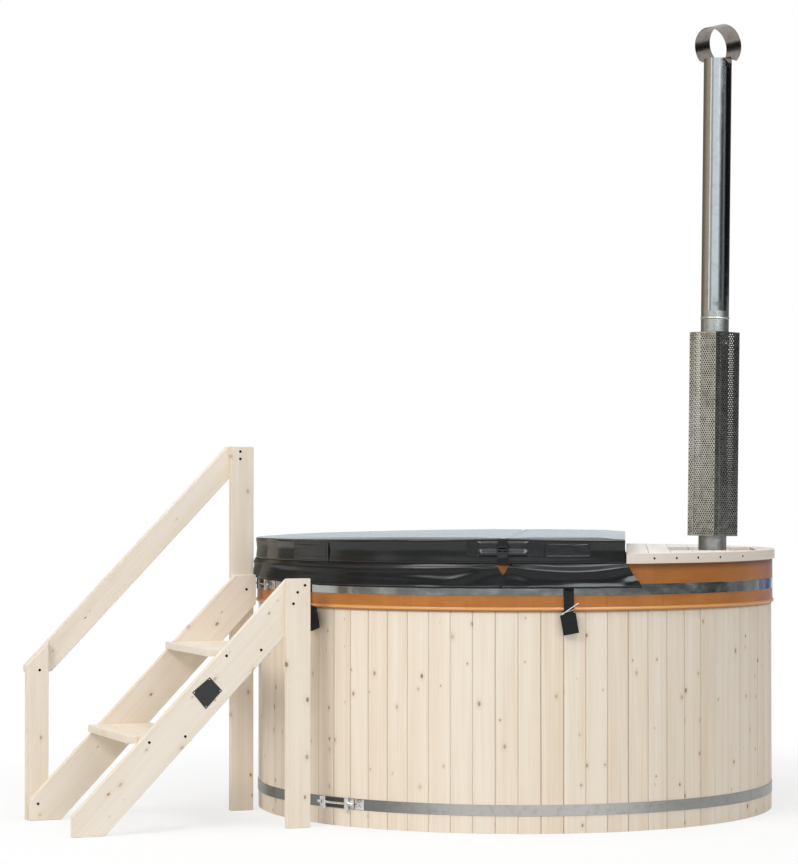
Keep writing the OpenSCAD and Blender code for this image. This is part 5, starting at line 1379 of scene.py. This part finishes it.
# %% Bands
def band(bm, layer, path, side, width, thick):
    """A strap along path; side is the direction of its width at each point, or one for all."""
    path = [Vector(p) for p in path]
    n, run, rings = len(path), 0.0, []
    w, t, c = width / 2, thick / 2, min(0.0005, thick / 4)
    for k, p in enumerate(path):
        if k:
            run += (p - path[k - 1]).length
        way = (path[min(k + 1, n - 1)] - path[max(k - 1, 0)]).normalized()
        wide = Vector(side[k] if isinstance(side, list) else side)
        wide = (wide - way * wide.dot(way)).normalized()
        up = way.cross(wide)
        ring = []
        for a, b in ((w - c, -t), (w, -t + c), (w, t - c), (w - c, t), (c - w, t), (-w, t - c), (-w, c - t), (c - w, -t)):
            v = bm.verts.new(p + wide * a + up * b)
            v[layer] = (a, run, b)
            ring.append(v)
        rings.append(ring)
    for a, b in zip(rings, rings[1:]):
        for i in range(8):
            bm.faces.new((a[i], a[(i + 1) % 8], b[(i + 1) % 8], b[i]))
    bm.faces.new(list(reversed(rings[0])))
    bm.faces.new(rings[-1])


# %% The fold strap and its buckle
FRONT_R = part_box("fold_strap")[1].y
bm = bmesh.new()
layer = bm.verts.layers.float_vector.new("strap")
y0 = FRONT_R - 0.0012
band(bm, layer, [(0, y0, z) for z in (0.952, 0.958, 0.966, 0.975, 0.983)], (1, 0, 0), 0.033, 0.0024)
band(bm, layer, [(0, y0 + 0.0002, 1.013), (0, y0, 1.020), (0, y0, 1.030), (0, y0, 1.038), (0, y0 + 0.0004, 1.043),
                 (0, y0 - 0.0012, 1.0462), (0, y0 - 0.0034, 1.0462), (0, y0 - 0.0044, 1.043), (0, y0 - 0.0038, 1.036),
                 (0, y0 - 0.0036, 1.026), (0, y0 - 0.0036, 1.018)], (1, 0, 0), 0.0355, 0.0022)
band(bm, layer, [(0, y0 - 0.0025, 0.983), (0, y0 - 0.0031, 0.975), (0, y0 - 0.0027, 0.967)], (1, 0, 0), 0.0355, 0.0022)
dress(close(bm, "fold_webbing", smooth=60), "webbing_black", "webbing", "cover_left", "fold_strap")
bm = bmesh.new()
yb, yf = FRONT_R - 0.0026, FRONT_R - 0.0088
block(bm, (-0.0175, yf, 0.978), (0.0175, yb, 1.0015))
block(bm, (-0.0205, yf + 0.001, 1.0055), (0.0205, yb, 1.0105))
block(bm, (-0.0205, yf + 0.001, 1.0165), (0.0205, yb, 1.0215))
for side in (-1, 1):
    block(bm, (min(side * 0.0165, side * 0.0205), yf + 0.001, 1.0055), (max(side * 0.0165, side * 0.0205), yb, 1.0215))
    block(bm, (min(side * 0.0172, side * 0.0215), yf + 0.0012, 0.9865), (max(side * 0.0172, side * 0.0215), yb - 0.0008, 1.0035))
block(bm, (-0.0025, yf + 0.0016, 1.0), (0.0025, yb - 0.001, 1.008))
block(bm, (-0.009, yf - 0.0008, 0.984), (0.009, yf + 0.001, 0.9855))
block(bm, (-0.009, yf - 0.0008, 0.988), (0.009, yf + 0.001, 0.9895))
dress(close(bm, "fold_buckle", 0.0011), "buckle_plastic", "lever_grip", "cover_left", "fold_strap")

# %% Tie straps
STRAP_MID = 1.0081


def wound(turns, half, gap):
    """A flat winding seen from its end: straight runs of length 2 half joined by round ends."""
    path = []
    for k in range(turns):
        r0 = gap * (turns - k)
        r1 = gap * (turns - k - 0.5)
        path += [(-half, -r0), (half, -r0)]
        path += [(half + r0 * math.sin(a) * 0.98, -r0 * math.cos(a) + (r0 - r1) * a / math.pi) for a in (math.pi * q / 6 for q in range(1, 6))]
        path += [(half, r1), (-half, r1)]
        r2 = gap * (turns - k - 1)
        if r2 > 0:
            path += [(-half - r1 * math.sin(a) * 0.98, r1 * math.cos(a)) for a in (math.pi * q / 6 for q in range(1, 6))]
    return path


def tie(name, turn, tilt, body, node, flip=1, hang=0.0):
    out = on_wall(turn, 1, 0)
    side = Vector((-out.y, out.x, 0))
    bm = bmesh.new()
    layer = bm.verts.layers.float_vector.new("strap")
    path = [out * STRAP_MID + Vector((0, 0, z)) for z in (0.925, 0.905, 0.885, 0.865, 0.845, 0.825, 0.805, 0.792)]
    band(bm, layer, path, side, 0.036, 0.0024)
    middle = out * (STRAP_MID + 0.0082) + side * hang + Vector((0, 0, 0.7445))
    lean = Matrix.Rotation(math.radians(tilt), 3, out)
    for low in (-0.0181, 0.0181):
        points = [middle + lean @ (side * x + out * y + Vector((0, 0, low))) for x, y in wound(3, 0.0215, 0.00232)]
        band(bm, layer, points, lean @ Vector((0, 0, 1)), 0.036, 0.002)
    neck = middle + lean @ Vector((0, 0, 0.036))
    band(bm, layer, [out * STRAP_MID + Vector((0, 0, 0.797)), out * (STRAP_MID + 0.001) + Vector((0, 0, 0.789)),
                     neck - out * 0.004, middle + lean @ Vector((0, 0, 0.020))], side, 0.033, 0.0022)
    webbing = close(bm, name, smooth=60)
    dress(webbing, "webbing_black", "webbing", body, node)
    bm = bmesh.new()
    z = 0.7905
    ring = [(0.0178 * math.cos(a), 0.0062 * math.sin(a)) for a in (2 * math.pi * k / 28 for k in range(28))]
    ring = [(x * (1 + 0.12 * (abs(y) / 0.0062) ** 2), y) for x, y in ring]
    place = out * (STRAP_MID + 0.0030) + Vector((0, 0, z))
    tube(bm, [place + side * x + out * y * 0.72 + Vector((0, 0, x * 0.30 * flip)) for x, y in ring], 0.00105, 6, loop=True)
    head = place + out * 0.0062 + side * -0.022 * flip + Vector((0, 0, -0.008))
    tail_way = (side * flip * 0.83 + Vector((0, 0, 0.56)) + out * 0.05).normalized()
    tube(bm, [head - tail_way * 0.006, head - tail_way * 0.005, head - tail_way * 0.0049, head + tail_way * 0.001, head + tail_way * 0.0011,
              head + tail_way * 0.02, head + tail_way * 0.04, head + tail_way * 0.066], lambda s: 0.0034 if 0.1 < s < 0.5 else 0.0018, 6)
    dress(close(bm, name + "_cable_tie"), "tie_white", "webbing", body)


tie("tie_left_near", -136.9, 17, "cover_left", "tie_straps_left", 1, 0.048)
tie("tie_left_far", 133.0, 8, "cover_left", "tie_straps_left", -1)
tie("tie_right_near", -76.6, 10, "cover_right", "tie_straps_right", 1)
tie("tie_right_far", 77.0, 5, "cover_right", "tie_straps_right", -1)
print("straps and ties")

# %% [markdown]
# ## Stitches
# One stitch, repeated along a line by Geometry Nodes. The line is a row of points with a `facing`
# attribute; the tree makes a curve of it, divides that into even steps and lays a stitch on each.

# %% Tree: stitches along a line
stitched = bpy.data.node_groups.new("stitches_on_line", "GeometryNodeTree")
t = stitched
socket(t, "Line", "Geometry")
STITCH_IN = {label: socket(t, label, kind) for label, kind in (("Gap", "Float"), ("Stitch", "Object"), ("Finish", "Material"))}
socket(t, "Result", "Geometry", side="OUTPUT")
given = t.nodes.new("NodeGroupInput").outputs
line = put(t, "GeometryNodeMeshToCurve", {0: given["Line"]}).outputs[0]
even = put(t, "GeometryNodeResampleCurve", {"Curve": line, "Length": given["Gap"]}, mode="LENGTH").outputs[0]
out_way = put(t, "GeometryNodeInputNamedAttribute", {"Name": "facing"}, data_type="FLOAT_VECTOR").outputs["Attribute"]
stand = put(t, "FunctionNodeAlignRotationToVector", {"Vector": out_way}, axis="Z").outputs[0]
lie = put(t, "FunctionNodeAlignRotationToVector", {"Rotation": stand, "Vector": put(t, "GeometryNodeInputTangent").outputs[0]},
          axis="X", pivot_axis="Z").outputs[0]
laid = put(t, "GeometryNodeInstanceOnPoints", {"Points": even, "Rotation": lie, "Instance": put(
    t, "GeometryNodeObjectInfo", {"Object": given["Stitch"]}).outputs["Geometry"]}).outputs[0]
real = put(t, "GeometryNodeRealizeInstances", {0: laid}).outputs[0]
put(t, "NodeGroupOutput", {0: put(t, "GeometryNodeSetMaterial", {0: real, "Material": given["Finish"]}).outputs[0]})

STITCH = add_mesh("stitch_shape", [(x, y, z) for x in (-0.0017, -0.0011, 0.0011, 0.0017) for y, z in (
    ((0.0003, 0), (0, 0.0001), (-0.0003, 0), (0, -0.0002)) if abs(x) > 0.0015 else ((0.00042, 0.0001), (0, 0.0005), (-0.00042, 0.0001), (0, -0.0002)))],
    [(0, 1, 2, 3), (15, 14, 13, 12)] + [(k * 4 + i, (k + 1) * 4 + i, (k + 1) * 4 + (i + 1) % 4, k * 4 + (i + 1) % 4)
                                       for k in range(3) for i in range(4)], 60)


def stitch(name, lines, body):
    """lines are rows of (point, facing)."""
    points = [p for row in lines for p, _ in row]
    facing_ways = [d for row in lines for _, d in row]
    seeds = bpy.data.meshes.new(name + "_line")
    edges, first = [], 0
    for row in lines:
        edges += [(first + k, first + k + 1) for k in range(len(row) - 1)]
        first += len(row)
    seeds.from_pydata([tuple(p) for p in points], edges, [])
    way = seeds.attributes.new("facing", "FLOAT_VECTOR", "POINT")
    for k, d in enumerate(facing_ways):
        way.data[k].vector = d
    obj = bpy.data.objects.new(name + "_line", seeds)
    bpy.context.scene.collection.objects.link(obj)
    made = grown(obj, stitched, name, {STITCH_IN["Gap"]: 0.0045, STITCH_IN["Stitch"]: STITCH, STITCH_IN["Finish"]: FINISHES["thread_grey"]})
    return dress(made, "thread_grey", "cover_vinyl", body)


def hem_line(start, end, share, count):
    row = []
    for k in range(count + 1):
        turn = start + (end - start) * k / count
        outer = flap_inner(turn, share) + soft_folds(turn, share) + FLAP_T + 0.0011
        row.append((on_wall(turn, outer, COVER_Z - 0.0003 - flap_drop(turn, share)), on_wall(turn, 1, 0)))
    return row


stitch("hem_stitches_left", [hem_line(-268, -92.4, 0.925, 400)], "cover_left")
stitch("hem_stitches_right", [hem_line(-89.2, -62, 0.925, 60), hem_line(62, 89.2, 0.925, 60)], "cover_right")
bpy.data.objects.remove(STITCH)

# %% [markdown]
# ## The stove's plain parts
# Pieces whose CAD shape is already right keep their mesh and get a finish of their own.

# %% Paint what stays
for finish_name, nodes in {
        "floor_wood": ("base_deck", "wall_rings"),
        "stove_sheet": ("firebox", "stove_top", "stove_feet"),
        "cast_iron": ("fire_grate", "hatch_plate", "hatch_handle", "air_slider"),
        "turned_steel": ("hatch_pin", "drain_flange", "drain_pipe", "drain_valve"),
        "lever_dip": ("drain_lever",)}.items():
    for node in nodes:
        paint(node, finish_name)
print("painted the stove and the drain")

# %% [markdown]
# ## Stage
# The floor is pale and matt and takes the object's shadow. Far from the object it turns into plain
# white, and so does the world behind it, for the camera and for mirrors alike; the lamps stay at a
# level where a colour looks as it is written.

# %% Floor and world
floor_finish = bpy.data.materials.new("stage_floor")
floor_finish.use_nodes = True
t = floor_finish.node_tree
t.nodes.clear()
rays = put(t, "ShaderNodeLightPath").outputs
seen = calc(t, "MINIMUM", calc(t, "ADD", calc(t, "ADD", rays["Is Camera Ray"], rays["Is Glossy Ray"]), rays["Is Transmission Ray"]), 1.0)
away = put(t, "ShaderNodeVectorMath", {0: put(t, "ShaderNodeTexCoord").outputs["Object"]}, operation="LENGTH").outputs["Value"]
share = calc(t, "MULTIPLY", seen, step(t, away, 1.3, 3.0, 0.66, 1.0))
mixed = put(t, "ShaderNodeMixShader", {
    0: share, 1: put(t, "ShaderNodeBsdfDiffuse", {"Color": (0.88, 0.88, 0.87, 1)}).outputs[0],
    2: put(t, "ShaderNodeEmission", {"Color": (1, 1, 1, 1), "Strength": 1.0}).outputs[0]})
put(t, "ShaderNodeOutputMaterial", {"Surface": mixed.outputs[0]})
floor = skin("stage_floor", lambda u, v: (60 * u - 30, 60 * v - 30, -0.0005), 1, 1)
floor.data.materials.append(floor_finish)

world = bpy.data.worlds.new("studio")
bpy.context.scene.world = world
world.use_nodes = True
t = world.node_tree
t.nodes.clear()
rays = put(t, "ShaderNodeLightPath").outputs
seen = calc(t, "MINIMUM", calc(t, "ADD", calc(t, "ADD", rays["Is Camera Ray"], rays["Is Glossy Ray"]), rays["Is Transmission Ray"]), 1.0)
AMBIENT = (0.46, 0.465, 0.475, 1)
put(t, "ShaderNodeOutputWorld", {"Surface": put(t, "ShaderNodeBackground", {
    "Color": tint(t, seen, AMBIENT, (1, 1, 1, 1)), "Strength": 1.0}).outputs[0]})
bpy.context.scene.view_settings.view_transform = "Standard"
print("stage and world ready")


# %% Soft lamps
def lamp(name, place, target, size, power, colour=(1, 1, 1)):
    light = bpy.data.lights.new(name, "AREA")
    light.shape, light.size, light.size_y = "RECTANGLE", size[0], size[1]
    light.energy, light.color = power, colour
    obj = bpy.data.objects.new(name, light)
    obj.location = place
    obj.rotation_euler = (Vector(target) - Vector(place)).to_track_quat("-Z", "Y").to_euler()
    bpy.context.scene.collection.objects.link(obj)
    return obj


lamp("key_lamp", (-6.0, -8.5, 7.6), (0, 0, 0.6), (5, 4), 620, (1.0, 0.985, 0.965))
lamp("fill_lamp", (5.5, -7.5, 6.5), (0, 0, 0.6), (4, 4), 110, (0.95, 0.98, 1.0))
lamp("top_lamp", (0.5, -1.0, 7.5), (0, 0, 0.8), (5, 5), 190, (1.0, 1.0, 1.0))

# %% [markdown]
# Polished pipe shows the room it stands in, so mirrors get a wall of soft greys round the stage, in two
# bands: the upper one is what the chimney reflects, the lower one what the hoops, guard and vinyl
# reflect. Only glossy rays see the wall. Its colours are stops on a ramp that runs round by angle.

# %% Wall for reflections
def wall_of_greys(name, radius, upper, lower, split):
    """upper and lower are (turn, grey or colour) stops, with the turn in degrees from -180 to 180."""
    wall = bpy.data.materials.new(name)
    wall.use_nodes = True
    t = wall.node_tree
    t.nodes.clear()
    x, y, z = put(t, "ShaderNodeSeparateXYZ", {0: put(t, "ShaderNodeTexCoord").outputs["Object"]}).outputs
    round_share = calc(t, "MULTIPLY_ADD", calc(t, "ARCTAN2", y, x), 1 / (2 * math.pi), 0.5)
    bands = []
    for stops in (upper, lower):
        ramp_node = t.nodes.new("ShaderNodeValToRGB")
        t.links.new(round_share, ramp_node.inputs[0])
        ramp_stops = ramp_node.color_ramp.elements
        while len(ramp_stops) < len(stops):
            ramp_stops.new(1.0)
        for stop, (turn, colour) in zip(ramp_stops, stops):
            stop.position = turn / 360 + 0.5
            stop.color = (*colour, 1)
        bands.append(ramp_node.outputs[0])
    both = tint(t, step(t, z, split - 0.1, split + 0.1), bands[1], bands[0])
    put(t, "ShaderNodeOutputMaterial", {"Surface": put(t, "ShaderNodeEmission", {"Color": both, "Strength": 1.0}).outputs[0]})
    obj = skin(name, lambda u, v: on_wall(360 * u, radius, -0.4 + 6.6 * v), 72, 4)
    obj.data.materials.append(wall)
    obj.visible_camera = obj.visible_diffuse = obj.visible_shadow = obj.visible_transmission = False
    return obj


UPPER = [(-180, (0.40, 0.33, 0.24)), (-150, (0.48, 0.41, 0.31)), (-147, (1, 1, 1)), (-139, (1, 1, 1)), (-136, (0.36, 0.38, 0.38)),
         (-126, (0.4, 0.42, 0.42)), (-116, (0.78, 0.86, 0.9)), (-72, (0.82, 0.9, 0.95)), (-52, (0.06, 0.065, 0.07)), (-40, (0.04, 0.045, 0.05)),
         (-26, (0.2, 0.21, 0.21)), (-12, (0.004, 0.004, 0.005)), (35, (0.01, 0.01, 0.012)), (60, (0.12, 0.12, 0.12)),
         (95, (0.13, 0.115, 0.085)), (150, (0.2, 0.165, 0.12)), (180, (0.40, 0.33, 0.24))]
LOWER = [(-180, (1, 1, 0.97)), (-171, (0.96, 0.95, 0.9)), (-164, (0.34, 0.3, 0.25)), (-150, (0.26, 0.25, 0.23)),
         (-143, (0.75, 0.74, 0.66)), (-138, (0.3, 0.31, 0.31)), (-100, (0.34, 0.37, 0.36)), (-60, (0.24, 0.26, 0.25)),
         (-12, (0.05, 0.052, 0.05)), (14, (0.05, 0.052, 0.055)), (20, (0.3, 0.3, 0.32)), (26, (0.14, 0.14, 0.16)),
         (33, (0.42, 0.42, 0.42)), (39, (0.2, 0.21, 0.24)), (44, (0.62, 0.63, 0.66)), (48, (0.06, 0.08, 0.2)),
         (53, (0.4, 0.44, 0.56)), (57, (0.05, 0.07, 0.24)), (63, (0.14, 0.16, 0.3)), (69, (0.5, 0.54, 0.6)),
         (74, (0.99, 1.1, 1.18)), (103, (0.99, 1.1, 1.18)), (109, (0.24, 0.22, 0.18)), (165, (0.24, 0.22, 0.18)),
         (174, (1, 1, 0.97)), (180, (1, 1, 0.97))]
wall_of_greys("wall_of_greys", 12.0, UPPER, LOWER, 2.55)


def soft_box(name, start, end, low, high, strength):
    """A bright strip over the camera, seen only in reflections, that lays highlights along folds and rolls."""
    glow = bpy.data.materials.new(name)
    glow.use_nodes = True
    t = glow.node_tree
    t.nodes.clear()
    put(t, "ShaderNodeOutputMaterial", {"Surface": put(t, "ShaderNodeEmission", {"Color": (0.86, 0.95, 1, 1), "Strength": strength}).outputs[0]})
    obj = skin(name, lambda u, v: on_wall(start + (end - start) * u, 11.5, low + (high - low) * v), 24, 2)
    obj.data.materials.append(glow)
    obj.visible_camera = obj.visible_diffuse = obj.visible_shadow = obj.visible_transmission = False


soft_box("soft_box_middle", -108, -80, 6.6, 7.6, 8.0)
soft_box("soft_box_right", -78, -28, 5.0, 12.0, 8.5)
